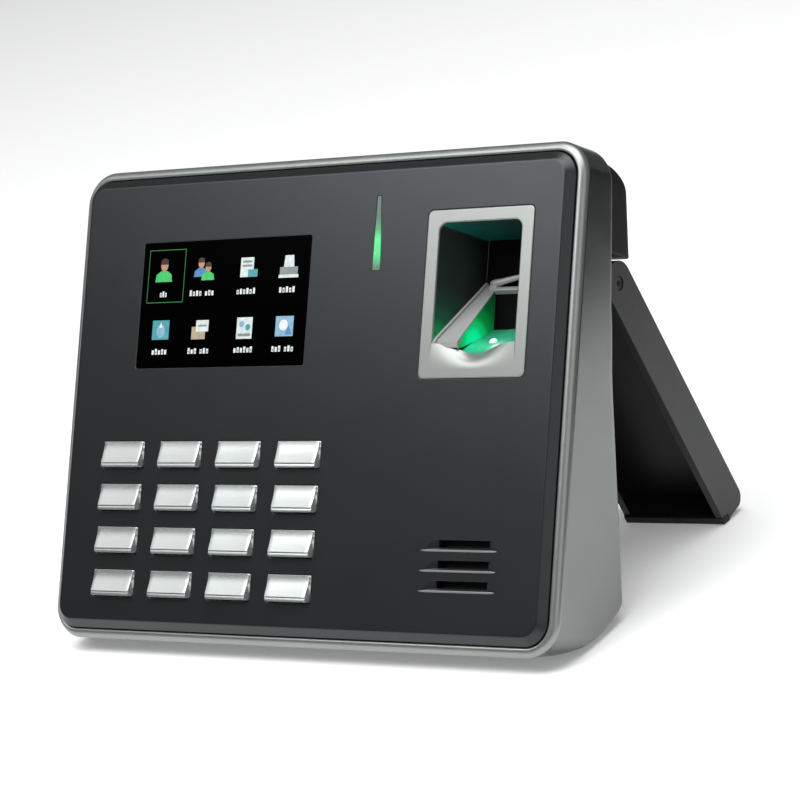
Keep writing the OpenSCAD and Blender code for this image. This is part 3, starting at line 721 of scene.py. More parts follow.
KEYS = ["key_1", "key_2", "key_3", "key_escape", "key_4", "key_5", "key_6", "key_menu", "key_7", "key_8", "key_9", "key_up", "key_clear", "key_0", "key_down", "key_ok"]
for i, k in enumerate(KEYS):
    build_key(k, i % 4, i // 4)


# ------------------------------------------------------------------ screen
def emissive(name, color, strength, base=(0.01, 0.01, 0.01), rough=0.15):
    if name in MATS:
        return MATS[name]
    m = plastic(name, base, rough=rough, grain=900, bump=0.0, vary=0.2, rvary=0.03, big=120)
    nt = m.node_tree
    p = [n for n in nt.nodes if n.type == "BSDF_PRINCIPLED"][0]
    # slight unevenness of the backlight
    tc = nt.nodes.new("ShaderNodeTexCoord")
    n = nt.nodes.new("ShaderNodeTexNoise")
    n.inputs["Scale"].default_value = 700
    nt.links.new(tc.outputs["Object"], n.inputs["Vector"])
    ramp = nt.nodes.new("ShaderNodeValToRGB")
    ramp.color_ramp.elements[0].position = 0.35
    ramp.color_ramp.elements[1].position = 0.65
    ramp.color_ramp.elements[0].color = (*[c * 0.82 for c in color], 1)
    ramp.color_ramp.elements[1].color = (*color, 1)
    nt.links.new(n.outputs["Fac"], ramp.inputs["Fac"])
    nt.links.new(ramp.outputs["Color"], p.inputs["Emission Color"])
    p.inputs["Emission Strength"].default_value = strength
    return m


def build_lens():
    B = Builder()
    rows = []
    for d, b in ((0.0, -0.5), (0.0, -1.72), (0.04, -1.83), (0.14, -1.89), (0.3, -1.9)):
        rows.append([(x, z, b) for x, z in rr_in(LX0, LZ0, LW, LH, 0.6, d, 5)])
    B.rows(rows)
    B.poly(rows[-1])
    B.make("screen_lens", M_LENS, replaces=("lcd_lens",), slot="lens_dark", angle=30)


build_lens()

UB = -1.915
ICON = ()


def tile(B, pts, z=0.0):
    """A flat patch on the screen. pts are (u, v)."""
    if ICON:
        cx, cy, s_, dx, dy = ICON
        pts = [(cx + (x - cx) * s_ + dx, cy + (y - cy) * s_ + dy) for x, y in pts]
    B.poly([(x, y, UB - z) for x, y in pts])


def disc(cx, cy, r, n=18, sx=1.0, sy=1.0):
    return [(cx + r * sx * math.cos(2 * math.pi * i / n), cy + r * sy * math.sin(2 * math.pi * i / n)) for i in range(n)]


def rect(x0, y0, x1, y1):
    return [(x0, y0), (x1, y0), (x1, y1), (x0, y1)]


UI = {}


def ui(color_name):
    if color_name not in UI:
        UI[color_name] = Builder()
    return UI[color_name]


UI_COL = {
    "green": ((0.10, 0.85, 0.22), 0.75), "skin": ((0.80, 0.45, 0.26), 0.75), "hair": ((0.10, 0.05, 0.03), 0.6), "blue": ((0.12, 0.38, 0.75), 0.75),
    "teal": ((0.12, 0.55, 0.62), 0.75), "pale": ((0.80, 0.90, 0.88), 1.0), "grey": ((0.42, 0.47, 0.50), 0.7), "white": ((0.95, 1.0, 1.0), 1.0),
    "beige": ((0.72, 0.60, 0.42), 0.75), "sky": ((0.38, 0.66, 0.88), 0.8), "dark": ((0.03, 0.05, 0.07), 0.5), "text": ((0.92, 0.98, 0.98), 1.0),
    "line": ((0.05, 0.34, 0.07), 0.8), "red": ((0.7, 0.12, 0.08), 0.7),
}

COLS = (-55.2, -39.9, -22.9, -7.8)
R1, R2 = 109.3, 91.2


def person(cx, cy, shirt, s=1.0, lay=0.0):
    tile(ui(shirt), [(cx - 2.7 * s, cy - 3.0 * s), (cx + 2.7 * s, cy - 3.0 * s), (cx + 2.4 * s, cy - 1.2 * s), (cx + 1.0 * s, cy - 0.3 * s), (cx - 1.0 * s, cy - 0.3 * s), (cx - 2.4 * s, cy - 1.2 * s)], lay)
    tile(ui("skin"), disc(cx, cy + 1.1 * s, 1.35 * s, 16, 0.88, 1.1), lay + 0.004)
    tile(ui("hair"), [(cx - 1.3 * s, cy + 1.3 * s), (cx + 1.3 * s, cy + 1.3 * s), (cx + 1.1 * s, cy + 2.5 * s), (cx, cy + 2.9 * s), (cx - 1.1 * s, cy + 2.5 * s)], lay + 0.008)


def build_ui():
    global ICON
    # selection frame round the first icon
    x0, x1, y0, y1 = -60.7, -46.7, 99.1, 114.9
    g = ui("line")
    w = 0.2
    for rc in (rect(x0, y0, x1, y0 + w), rect(x0, y1 - w, x1, y1), rect(x0, y0 + w, x0 + w, y1 - w), rect(x1 - w, y0 + w, x1, y1 - w)):
        tile(g, rc)
    ICON = (COLS[0], R1, 1.14, 0.55, -0.4)
    person(COLS[0], R1, "green", 1.05)
    ICON = (COLS[1], R1, 1.14, 0.5, -0.55)
    person(COLS[1] - 1.0, R1 + 0.5, "blue", 0.85)
    person(COLS[1] + 1.4, R1 - 0.6, "green", 0.8, 0.012)
    # document with an arrow
    cx, cy = COLS[2], R1
    ICON = (cx, cy, 1.1, -0.1, -0.7)
    tile(ui("pale"), rect(cx - 2.4, cy - 2.6, cx + 2.0, cy + 2.6))
    tile(ui("grey"), rect(cx - 1.8, cy + 1.2, cx + 1.4, cy + 1.8), 0.006)
    tile(ui("grey"), rect(cx - 1.8, cy + 0.1, cx + 1.4, cy + 0.7), 0.006)
    tile(ui("teal"), [(cx + 0.2, cy - 2.6), (cx + 3.4, cy - 2.6), (cx + 3.4, cy - 0.6), (cx + 0.2, cy - 0.6)], 0.010)
    # printer
    cx = COLS[3]
    ICON = (cx, cy, 1.12, 0.0, -1.0)
    tile(ui("grey"), [(cx - 2.9, cy - 2.4), (cx + 2.9, cy - 2.4), (cx + 2.9, cy - 0.1), (cx - 2.9, cy - 0.1)])
    tile(ui("pale"), [(cx - 1.7, cy - 0.1), (cx + 1.7, cy - 0.1), (cx + 1.4, cy + 2.9), (cx - 1.4, cy + 2.9)], 0.006)
    tile(ui("pale"), rect(cx - 3.2, cy - 2.9, cx + 3.2, cy - 2.1), 0.006)
    # second row
    cx, cy = COLS[0], R2
    ICON = (cx, cy, 1.1, 0.9, -0.2)
    tile(ui("teal"), rect(cx - 2.9, cy - 2.6, cx + 2.9, cy + 2.6))
    tile(ui("sky"), disc(cx, cy - 0.3, 1.6, 18, 0.9, 1.15), 0.006)
    tile(ui("white"), [(cx - 0.6, cy + 0.6), (cx + 0.6, cy + 0.6), (cx, cy + 2.1)], 0.010)
    cx = COLS[1]
    ICON = (cx, cy, 1.12, 0.65, -0.55)
    tile(ui("beige"), rect(cx - 2.8, cy - 2.4, cx + 1.8, cy + 0.9))
    tile(ui("pale"), rect(cx - 1.4, cy - 0.4, cx + 2.8, cy + 2.6), 0.006)
    tile(ui("grey"), rect(cx - 0.8, cy + 0.9, cx + 2.2, cy + 1.4), 0.010)
    cx = COLS[2]
    ICON = (cx, cy, 1.2, 0.3, -0.35)
    tile(ui("pale"), rect(cx - 2.4, cy - 2.6, cx + 2.4, cy + 2.6))
    tile(ui("sky"), disc(cx - 0.9, cy + 1.0, 0.8, 14), 0.006)
    tile(ui("teal"), disc(cx + 1.0, cy + 0.2, 0.8, 14), 0.006)
    tile(ui("grey"), rect(cx - 1.9, cy - 2.0, cx + 1.9, cy - 1.3), 0.006)
    cx = COLS[3]
    ICON = (cx, cy, 1.12, -0.15, -0.15)
    tile(ui("sky"), rect(cx - 2.9, cy - 2.6, cx + 2.9, cy + 2.6))
    tile(ui("white"), disc(cx - 0.3, cy + 0.3, 1.4, 16), 0.006)
    tile(ui("blue"), [(cx + 0.2, cy - 2.2), (cx + 2.6, cy - 2.2), (cx + 1.4, cy + 0.2)], 0.010)
    ICON = ()
    # caption marks under each icon: plain blocks, no letters
    import_marks = (((3,), (4, 3), (6,), (5,)), ((5,), (3, 3), (6,), (3, 3)))
    shift = ((1.0, 0.4, 0.0, 0.0), (1.1, 0.65, 0.45, -0.15))
    for ri, (rowy, marks) in enumerate(((101.55, import_marks[0]), (84.5, import_marks[1]))):
        for ci, groups in enumerate(marks):
            pitch = 0.95 if (ri, ci) == (0, 0) else 1.2
            total = sum(groups) * pitch + (len(groups) - 1) * 1.0
            x = COLS[ci] - total / 2 + shift[ri][ci]
            for gi, gcount in enumerate(groups):
                for k in range(gcount):
                    hgt = (1.3, 1.7, 1.25, 1.55, 1.35, 1.7)[(k + gi + ci) % 6]
                    tile(ui("text"), rect(x, rowy - 0.75, x + 0.66 * pitch, rowy - 0.75 + hgt))
                    if (k + ci + ri) % 2 == 0:
                        tile(ui("dark"), rect(x + 0.22 * pitch, rowy - 0.45, x + 0.46 * pitch, rowy + 0.15), 0.006)
                    x += pitch
                x += 1.0
    for key, b in UI.items():
        col, st = UI_COL[key]
        b.make("screen_" + key, emissive("ui_" + key, col, st), slot="lens_dark")


build_ui()


# ------------------------------------------------------------------ status light
def build_guide():
    B = Builder()
    rows = []
    for d, b in ((0.0, 0.35), (0.0, -1.96), (0.06, -2.04), (0.2, -2.05)):
        rows.append([(x, z, b) for x, z in round_poly(offset_poly(GUIDE, d), 0.22, 3)])
    B.rows(rows)
    B.poly(rows[-1])
    m, nt, p = new_mat("guide_glow")
    L = nt.links.new
    tc = nt.nodes.new("ShaderNodeTexCoord")
    # height along the guide, read from object coordinates
    sep = nt.nodes.new("ShaderNodeSeparateXYZ")
    L(tc.outputs["Object"], sep.inputs[0])
    z_lo, z_hi = D(23, 106, PB).z, D(23, 127.15, PB).z
    mr = nt.nodes.new("ShaderNodeMapRange")
    mr.inputs["From Min"].default_value = z_lo
    mr.inputs["From Max"].default_value = z_hi
    L(sep.outputs["Z"], mr.inputs["Value"])
    ramp = nt.nodes.new("ShaderNodeValToRGB")
    cr = ramp.color_ramp
    cr.elements[0].position, cr.elements[0].color = 0.0, (0.01, 0.05, 0.02, 1)
    cr.elements[1].position, cr.elements[1].color = 1.0, (0.012, 0.02, 0.015, 1)
    for pos, col in ((0.06, (0.01, 0.16, 0.05, 1)), (0.2, (0.02, 0.75, 0.22, 1)), (0.42, (0.03, 0.95, 0.28, 1)), (0.56, (0.015, 0.30, 0.09, 1)), (0.72, (0.012, 0.06, 0.03, 1))):
        e = cr.elements.new(pos)
        e.color = col
    L(mr.outputs[0], ramp.inputs["Fac"])
    L(ramp.outputs["Color"], p.inputs["Emission Color"])
    p.inputs["Emission Strength"].default_value = 0.8
    n = nt.nodes.new("ShaderNodeTexNoise")
    n.inputs["Scale"].default_value = 500
    L(tc.outputs["Object"], n.inputs["Vector"])
    r2 = nt.nodes.new("ShaderNodeMapRange")
    r2.inputs["To Min"].default_value = 0.16
    r2.inputs["To Max"].default_value = 0.32
    L(n.outputs["Fac"], r2.inputs["Value"])
    L(r2.outputs[0], p.inputs["Roughness"])
    c2 = nt.nodes.new("ShaderNodeValToRGB")
    c2.color_ramp.elements[0].color = (0.05, 0.075, 0.065, 1)
    c2.color_ramp.elements[1].color = (0.085, 0.12, 0.10, 1)
    L(n.outputs["Fac"], c2.inputs["Fac"])
    L(c2.outputs["Color"], p.inputs["Base Color"])
    B.make("status_guide", m, replaces=("light_guide",), slot="light_clear", angle=30)


build_guide()

# ------------------------------------------------------------------ finger recess
RX0, RX1 = FX0 + 3.9, FX0 + 31.4      # 44.3 .. 71.8
RZ1 = 118.5


def ramp_top(x):
    """Height of the ramp's upper edge: lower in the middle, where the finger goes in."""
    return 85.1 - 3.0 * math.exp(-(((x - 58.0) / 7.4) ** 2))


def build_fp_frame():
    B = Builder()
    outer = []
    for d, b in ((0.0, -1.15), (0.0, -1.95), (0.05, -2.07), (0.16, -2.13), (0.32, -2.15)):
        outer.append([(x, z, b) for x, z in rr_in(FX0, FZ0, FW, FH, 1.6, d, 6)])
    B.rows(outer)
    # inner opening edge: sides and top; the bottom is the ramp
    x0, x1, z0, z1 = RX0, RX1, 77.4, RZ1
    def inner(d):
        """open path: from the lower left corner up, over the top and down to the lower right corner (d > 0 moves outwards, onto the face)"""
        r = 2.5 + d
        pts = [(x0 - d, z0)]
        for i in range(1, 12):
            pts.append((x0 - d, z0 + (z1 - 2.5 - z0) * i / 12))
        for i in range(9):
            a = math.radians(180 - 90 * i / 8)
            pts.append((x0 + 2.5 + r * math.cos(a), z1 - 2.5 + r * math.sin(a)))
        for i in range(9):
            a = math.radians(90 - 90 * i / 8)
            pts.append((x1 - 2.5 + r * math.cos(a), z1 - 2.5 + r * math.sin(a)))
        for i in range(11, 0, -1):
            pts.append((x1 + d, z0 + (z1 - 2.5 - z0) * i / 12))
        pts.append((x1 + d, z0))
        return pts
    rows = []
    for i in range(6):
        a = math.radians(90 * i / 5)
        d = 0.35 * (1 - math.sin(a))
        rows.append([(x, z, -2.15 + 0.35 * (1 - math.cos(a))) for x, z in inner(d)])
    rows.append([(x, z, -1.45) for x, z in inner(0.0)])
    B.rows(rows, close_u=False)
    face_in = [(p[0], p[1]) for p in rows[0]]
    # ramp patch: columns across, rows down the slope
    nx, nz = 48, 28
    patch = []
    for j in range(nz + 1):
        row = []
        for i in range(nx + 1):
            x = x0 + (x1 - x0) * i / nx
            t = j / nz
            # finger dip: the upper end is lower in the middle
            top = ramp_top(x)
            z = z0 + (top - z0) * t
            g = max(0.0, math.exp(-(((x - 58.0) / 8.5) ** 2)) - 0.06)
            b = -2.15 + (0.10 + 2.3 * g) * t ** 2.6
            row.append((x, z, b))
        patch.append(row)
    B.rows(patch, close_u=False)
    # small wall from the ramp's end back into the dark
    last = patch[-1]
    B.rows([last, [(x, z - 0.05, b + 0.14) for x, z, b in last], [(x, z - 0.30, b + 0.27) for x, z, b in last], [(x, z - 1.6, b + 0.30) for x, z, b in last]], close_u=False)
    # side creases beside the ramp
    for xs, sgn in ((x0, -1), (x1, 1)):
        k = 0 if sgn < 0 else nx
        edge = [r[k] for r in patch]
        d = 0.35
        q = []
        for k in range(6):
            a = math.radians(90 * k / 5)
            q.append([(xs + sgn * 0.35 * (1 - math.sin(a)), z, min(b, -2.15 + 0.35 * (1 - math.cos(a)))) for x, z, b in edge])
        B.rows(q + [edge], close_u=False)
    # flat face between the outer edge and the opening
    hole = [(x0 - 0.35, z0)] + [(x, z) for x, z in face_in[1:-1]] + [(x1 + 0.35, z0)]
    fx = [p for p in hole]
    pts, tris = flat_fill([[(p[0], p[1]) for p in outer[-1]], fx[::-1]], -2.15)
    B.add(pts, tris, flat=True)
    return B.make("recess_frame", M_FRAME, replaces=("fp_frame",), slot="frame_silver", angle=38, weld=4e-6)


build_fp_frame()

WELL_D = 16.0


def glow_mat(name, base, centres, rough=0.55, spec=0.2, strength=1.0, noise_amt=0.6):
    """Plastic lit from nearby: emission that falls off with distance from one or two points.
    centres: list of (point in metres, [(distance in mm, colour), ...])."""
    m, nt, p = new_mat(name)
    L = nt.links.new
    tc = nt.nodes.new("ShaderNodeTexCoord")
    n = nt.nodes.new("ShaderNodeTexNoise")
    n.inputs["Scale"].default_value = 300
    n.inputs["Detail"].default_value = 4
    L(tc.outputs["Object"], n.inputs["Vector"])
    total = None
    for c, stops in centres:
        d = nt.nodes.new("ShaderNodeVectorMath")
        d.operation = "DISTANCE"
        L(tc.outputs["Object"], d.inputs[0])
        d.inputs[1].default_value = tuple(c)
        top = stops[-1][0]
        mr = nt.nodes.new("ShaderNodeMapRange")
        mr.inputs["From Min"].default_value = 0.0
        mr.inputs["From Max"].default_value = top / 1000.0
        L(d.outputs["Value"], mr.inputs["Value"])
        j = nt.nodes.new("ShaderNodeMath")
        j.operation = "MULTIPLY_ADD"
        L(n.outputs["Fac"], j.inputs[0])
        j.inputs[1].default_value = noise_amt / top
        L(mr.outputs[0], j.inputs[2])
        ramp = nt.nodes.new("ShaderNodeValToRGB")
        ramp.color_ramp.interpolation = "EASE"
        cr = ramp.color_ramp
        cr.elements[0].position, cr.elements[0].color = stops[0][0] / top, (*stops[0][1], 1)
        cr.elements[1].position, cr.elements[1].color = 1.0, (*stops[-1][1], 1)
        for dist, col in stops[1:-1]:
            e = cr.elements.new(dist / top)
            e.color = (*col, 1)
        L(j.outputs[0], ramp.inputs["Fac"])
        if total is None:
            total = ramp.outputs["Color"]
        else:
            mx = nt.nodes.new("ShaderNodeMix")
            mx.data_type = "RGBA"
            mx.blend_type = "ADD"
            mx.inputs["Factor"].default_value = 1.0
            L(total, mx.inputs["A"])
            L(ramp.outputs["Color"], mx.inputs["B"])
            total = mx.outputs["Result"]
    L(total, p.inputs["Emission Color"])
    p.inputs["Emission Strength"].default_value = strength
    cr2 = nt.nodes.new("ShaderNodeValToRGB")
    cr2.color_ramp.elements[0].color = (*[q * 0.8 for q in base], 1)
    cr2.color_ramp.elements[1].color = (*[q * 1.2 for q in base], 1)
    L(n.outputs["Fac"], cr2.inputs["Fac"])
    L(cr2.outputs["Color"], p.inputs["Base Color"])
    r2 = nt.nodes.new("ShaderNodeMapRange")
    r2.inputs["To Min"].default_value = rough - 0.06
    r2.inputs["To Max"].default_value = min(1.0, rough + 0.06)
    L(n.outputs["Fac"], r2.inputs["Value"])
    L(r2.outputs[0], p.inputs["Roughness"])
    g = nt.nodes.new("ShaderNodeTexNoise")
    g.inputs["Scale"].default_value = 1900
    L(tc.outputs["Object"], g.inputs["Vector"])
    bp = nt.nodes.new("ShaderNodeBump")
    bp.inputs["Strength"].default_value = 0.15
    bp.inputs["Distance"].default_value = 0.00005
    L(g.outputs["Fac"], bp.inputs["Height"])
    L(bp.outputs[0], p.inputs["Normal"])
    p.inputs["Specular IOR Level"].default_value = spec
    return m


def build_well():
    """Drafted dark well: walls from the frame to the back wall, open below along the sensor plane. The left wall and
    roof carry painted light; the right wall and back are painted-shade black.
    """
    # painted light: green glow spilling from the sensor onto the left wall and roof, as emission falling off with
    # distance
    left = glow_mat("well_left_painted_glow", (0.0045, 0.005, 0.0048), [
        (D(44.3, 85.0, -1.0), [(0, (0.0, 0.24, 0.07)), (4, (0.0, 0.145, 0.042)), (8.5, (0.0, 0.045, 0.016)), (13, (0.0005, 0.014, 0.007)), (19, (0.0, 0.0, 0.0))]),
        (D(44.3, 106.0, -1.5), [(0, (0.005, 0.012, 0.010)), (8, (0.004, 0.008, 0.007)), (20, (0.0, 0.0, 0.0))])])
    roof = glow_mat("well_roof_painted_glow", (0.005, 0.0065, 0.006), [
        (D(45.5, 118.5, -0.5), [(0, (0.0, 0.055, 0.034)), (6, (0.0, 0.038, 0.025)), (13, (0.0, 0.022, 0.016)), (20, (0.0, 0.011, 0.009)), (30, (0.0, 0.004, 0.003))])])
    B = Builder()
    fb, bb = -1.5, WELL_D
    def ring(f):
        """open path at depth fraction f: up the left wall, over the top, down the right wall"""
        x0, x1 = RX0 + 4.3 * f, RX1 - 2.0 * f
        z1 = RZ1 - 2.0 * f
        r = 2.5 * (1 - f) + 1.0 * f
        b = fb + (bb - fb) * f
        zb = max(84.4, 1.08 * b + 85.4)
        pts = []
        for i in range(10):
            pts.append((x0, zb + (z1 - r - zb) * i / 10, b))
        for i in range(9):
            a = math.radians(180 - 90 * i / 8)
            pts.append((x0 + r + r * math.cos(a), z1 - r + r * math.sin(a), b))
        for i in range(1, 8):
            pts.append((x0 + r + (x1 - x0 - 2 * r) * i / 8, z1, b))
        for i in range(9):
            a = math.radians(90 - 90 * i / 8)
            pts.append((x1 - r + r * math.cos(a), z1 - r + r * math.sin(a), b))
        for i in range(9, -1, -1):
            pts.append((x1, zb + (z1 - r - zb) * i / 10, b))
        return pts
    rows = [ring(j / 16) for j in range(17)]
    B.rows([r[:15] for r in rows], close_u=False)
    B.cur = 1
    B.rows([r[14:30] for r in rows], close_u=False)
    B.cur = 2
    B.rows([r[29:] for r in rows], close_u=False)
    B.poly(rows[-1])
    return B.make("recess_well", left, replaces=("finger_well",), slot="cover_black", angle=35, mats=[left, roof, M_SHADE_BLACK])


build_well()

CH_B = 14.2               # back wall of the lit chamber


def SP(x, b, lift=0.0):
    """Point on the slanted sensor plane at depth b, raised by lift along its normal."""
    return (x, 1.08 * b + 87.0 + lift * 0.7071, b - lift * 0.7071)


def build_sensor():
    B = Builder()
    # left bar: broad sloping face with a thin raised outer ridge
    bs = [-1.75 + (15.9 + 1.75) * i / 22 for i in range(23)]
    xl = lambda b: RX0 + 0.05 + 4.2 * max(0, b) / WELL_D      # follows the well's wall
    prof = lambda b: [
        (xl(b) + 0.0, -1.0), (xl(b) + 0.05, 0.35), (xl(b) + 0.25, 0.5), (xl(b) + 0.65, 0.5), (xl(b) + 0.85, 0.38),
        (xl(b) + 1.0, -0.3), (xl(b) + 1.35, -0.38), (xl(b) + 1.6, 0.0), (xl(b) + 2.2, 0.12)]
    rows = []
    for b in bs:
        t = max(0.0, min(1.0, b / 13.4))
        inner = 52.7 + (53.3 - 52.7) * t         # window's left edge leans in a little
        r = []
        for x, l in prof(b):
            r.append(SP(x, b, l))
        for f in (0.25, 0.5, 0.75, 0.94):
            x = xl(b) + 2.2 + (inner - xl(b) - 2.2) * f
            r.append(SP(x, b, 0.12))
        r.append(SP(inner - 0.1, b, 0.08))
        r.append(SP(inner, b, -0.12))
        r.append(SP(inner + 0.05, b, -1.0))
        rows.append(r)
    # the bars stand on the ramp's upper edge
    rows.insert(0, [(x, z - 1.5, b + 0.25) for x, z, b in rows[0]])
    B.rows(rows, close_u=False)
    # two empty lists, left unused
    r0, r1 = [], []
    # top bar: level bar across the well at the window's upper end
    def bar(b0, b1, x0, x1, l0=0.25, r=0.3):
        sec = []
        for k in range(13):
            a = math.pi * k / 12
            sec.append((b0 + (b1 - b0) * (0.5 - 0.5 * math.cos(a)), l0 * math.sin(a) ** 0.5 if 0 < k < 12 else -1.0))
        B.rows([[SP(x, b, l) for b, l in sec] for x in (x0, x0 + 0.3, (x0 + x1) / 2, x1 - 0.3, x1)], close_u=False)
    bar(13.5, 14.6, 52.6, 69.6, l0=0.55)
    B.make("sensor_bars", M_SENSOR, replaces=("sensor_housing",), slot="shell_silver", angle=30)
    # strut that leans from the bar's corner to the back wall, upper right
    C = Builder()
    p0, p1 = Vector((51.6, 103.7, 14.3)), Vector((62.6, 106.2, 15.2))
    d = (p1 - p0)
    rws = []
    for f, w_ in ((0.0, 0.7), (0.03, 0.95), (0.1, 1.1), (0.3, 0.95), (0.6, 0.8), (0.9, 0.7), (1.0, 0.45)):
        q = p0 + d * f
        rws.append([(q.x - 0.42 * w_ * math.cos(t), q.y + 1.0 * w_ * math.cos(t), q.z + 0.6 * w_ * math.sin(t)) for t in [2 * math.pi * k / 12 for k in range(12)]])
    C.rows(rws)
    C.poly(rws[0])
    C.poly(rws[-1])
    # corner lug at the junction
    C.box(51.2, 53.9, 13.6, 15.0, 101.5, 103.6, 0.45)
    C.make("sensor_strut", M_SENSOR, slot="shell_silver", angle=35)


build_sensor()


def build_chamber():
    # painted light: the chamber's left wall and floor glow as emission falling off from points by the lamp, a painted
    # pool of light with a painted hot spot
    hot = D(60.6, 86.0, 4.3)
    left_wall_painted_glow = glow_mat("chamber_left", (0.01, 0.03, 0.018), [
        (D(53.0, 86.4, 5.6), [(0, (0.0, 0.80, 0.36)), (2.6, (0.0, 0.74, 0.26)), (4.8, (0.0, 0.46, 0.11)), (8, (0.0, 0.17, 0.03)), (12, (0.0, 0.06, 0.012)), (17, (0.0, 0.02, 0.006))])], rough=0.4, noise_amt=0.2)
    floor_painted_glow = glow_mat("chamber_floor_painted_glow", (0.02, 0.05, 0.035), [
        (hot, [(0, (1.0, 1.0, 0.95)), (1.2, (0.75, 1.0, 0.82)), (2.2, (0.12, 0.62, 0.38)), (3.8, (0.035, 0.40, 0.22)), (6.5, (0.01, 0.27, 0.13)), (12, (0.0, 0.13, 0.06))]),
        (D(53.2, 86.0, 3.5), [(0, (0.0, 0.5, 0.22)), (3, (0.0, 0.25, 0.11)), (6, (0.0, 0.0, 0.0))])], rough=0.35, noise_amt=0.1)
    def wall_x(b):
        return 52.72 + 0.6 * max(0.0, b) / 13.4
    def floor_v(x, f):
        v0 = min(ramp_top(min(max(x, RX0), RX1)) - 0.15, 85.0)
        return v0 + (90.9 - v0) * f ** 0.92
    B = Builder()
    rows = []
    for j in range(15):
        b = -1.0 + (CH_B + 1.0) * j / 14
        x = wall_x(b)
        low = 84.4 + (90.9 - 84.4) * max(0.0, b) / CH_B
        top = 1.08 * b + 86.75
        rows.append([(x, low + (top - low) * k / 8 - (0.6 if k == 0 else 0.0), b) for k in range(9)])
    B.rows(rows, close_u=False)
    B.make("chamber_left_wall", left_wall_painted_glow, slot="clear", angle=30)
    F = Builder()
    rows = []
    for j in range(13):
        f = j / 12
        b = 1.32 + (CH_B - 1.32) * f
        rows.append([(x, floor_v(x, f) + 0.62 * math.exp(-(((x - 60.4) / 1.7) ** 2) - ((b - 12.6) / 1.3) ** 2), b) for x in [52.4 + (69.6 - 52.4) * i / 24 for i in range(25)]])
    F.rows(rows, close_u=False)
    F.make("chamber_floor_painted_glow", floor_painted_glow, replaces=("sensor_prism",), slot="clear", angle=30)
    # low dome over the lamp
    Q = Builder()
    rws = []
    for k in range(7):
        a = math.radians(88 * k / 6)
        rws.append([(60.6 + 1.25 * math.cos(a) * math.cos(t), 85.75 + 1.15 * math.sin(a) + 0.35 * math.cos(a) * math.sin(t), 4.2 + 1.15 * math.cos(a) * math.sin(t)) for t in [2 * math.pi * i / 20 for i in range(20)]])
    Q.rows(rws)
    Q.poly(rws[-1], flat=False)
    Q.make("sensor_lamp", glow_mat("lamp_glow", (0.4, 0.5, 0.45), [(D(60.6, 86.7, 3.6), [(0, (1.0, 1.0, 0.96)), (0.7, (0.85, 1.0, 0.88)), (1.6, (0.12, 0.62, 0.40))])], rough=0.3, noise_amt=0.05), slot="clear")
    # painted shade: a flat sheet of the painted-shade black across the chamber's back, where there is only shade
    K = Builder()
    K.poly([(52.9, 90.2, CH_B - 0.02), (69.6, 90.2, CH_B - 0.02), (69.6, 102.3, CH_B + 0.2), (52.9, 102.3, CH_B + 0.2)])
    K.make("chamber_back_wall", M_SHADE_BLACK, slot="cover_black")
    # painted highlight: a thin glowing strip along the corner where the well's left and back walls meet
    E = Builder()
    xc = RX0 + 4.35
    E.rows([[(xc, z, 15.86) for z in (104.6, 110.5, 116.4)], [(xc + 0.09, z, 15.80) for z in (104.6, 110.5, 116.4)], [(xc + 0.2, z, 15.86) for z in (104.6, 110.5, 116.4)]], close_u=False)
    E.make("well_corner_highlight", glow_mat("corner_painted_highlight", (0.006, 0.0065, 0.0063), [(D(xc, 110.5, 15.8), [(0, (0.022, 0.026, 0.024)), (4, (0.018, 0.021, 0.020)), (7, (0.008, 0.009, 0.009))])]), slot="cover_black")


build_chamber()


# ------------------------------------------------------------------ rear block
def build_block():
    x1, z0, z1 = 88.4, 111.45, 138.0
    out = rr(-x1, z0, 2 * x1 + 0.5, z1 - z0, (1.0, 8.6, 8.6, 1.0), 12, 14)
    n = len(out)
    nrm = []
    for i in range(n):
        p0, p2 = Vector(out[i - 1]), Vector(out[(i + 1) % n])
        t = (p2 - p0).normalized()
        nrm.append(Vector((t.y, -t.x)))      # outward for an anticlockwise loop

    def back(z):
        return 26.75 - (z - 111.4) * (3.5 / 18.6)

    def R(i):
        up = max(0.0, nrm[i].y)
        low = max(0.0, -nrm[i].y)
        return 1.7 + 4.9 * up ** 1.6 - 0.7 * low

    rows = []
    def ring(dfun):
        r = []
        for i in range(n):
            d = dfun(i)
            x, z = out[i][0] - nrm[i].x * d, out[i][1] - nrm[i].y * d
            Ri = R(i)
            drop = Ri - math.sqrt(max(0.0, Ri * Ri - max(0.0, Ri - d) ** 2))
            r.append((x, z, back(z) - drop))
        return r
    first = ring(lambda i: 0.0)
    front = []
    for (x, z, b) in first:
        fb_ = rear(min(z, 139)) + 0.22 if z > 111 else rear(111.4) + 0.22
        front.append((x, z, max(fb_, 16.35) if 38 < x < 77 and z < 119 else fb_))      # clear of the finger well's back
    inn = [(x * 0.985, z0 + (z - z0) * 0.93 + 0.6, b - 0.1) for (x, z, b) in front]
    rows = [inn, front]
    for k in range(1, 8):
        f = k / 8
        rows.append([(x, z, bf + (b - bf) * f) for (x, z, b), (_, _, bf) in zip(first, front)])
    for k in range(0, 9):
        a = math.radians(90 * k / 8)
        rows.append(ring(lambda i, a=a: R(i) * (1 - math.cos(a))))
    for e in (7.2, 8.6):
        rows.append(ring(lambda i, e=e: max(R(i), e)))
    B = Builder()
    B.rows(rows)
    B.poly(rows[-1])
    return B.make("rear_block", M_COVER, slot="cover_black", angle=40)


build_block()


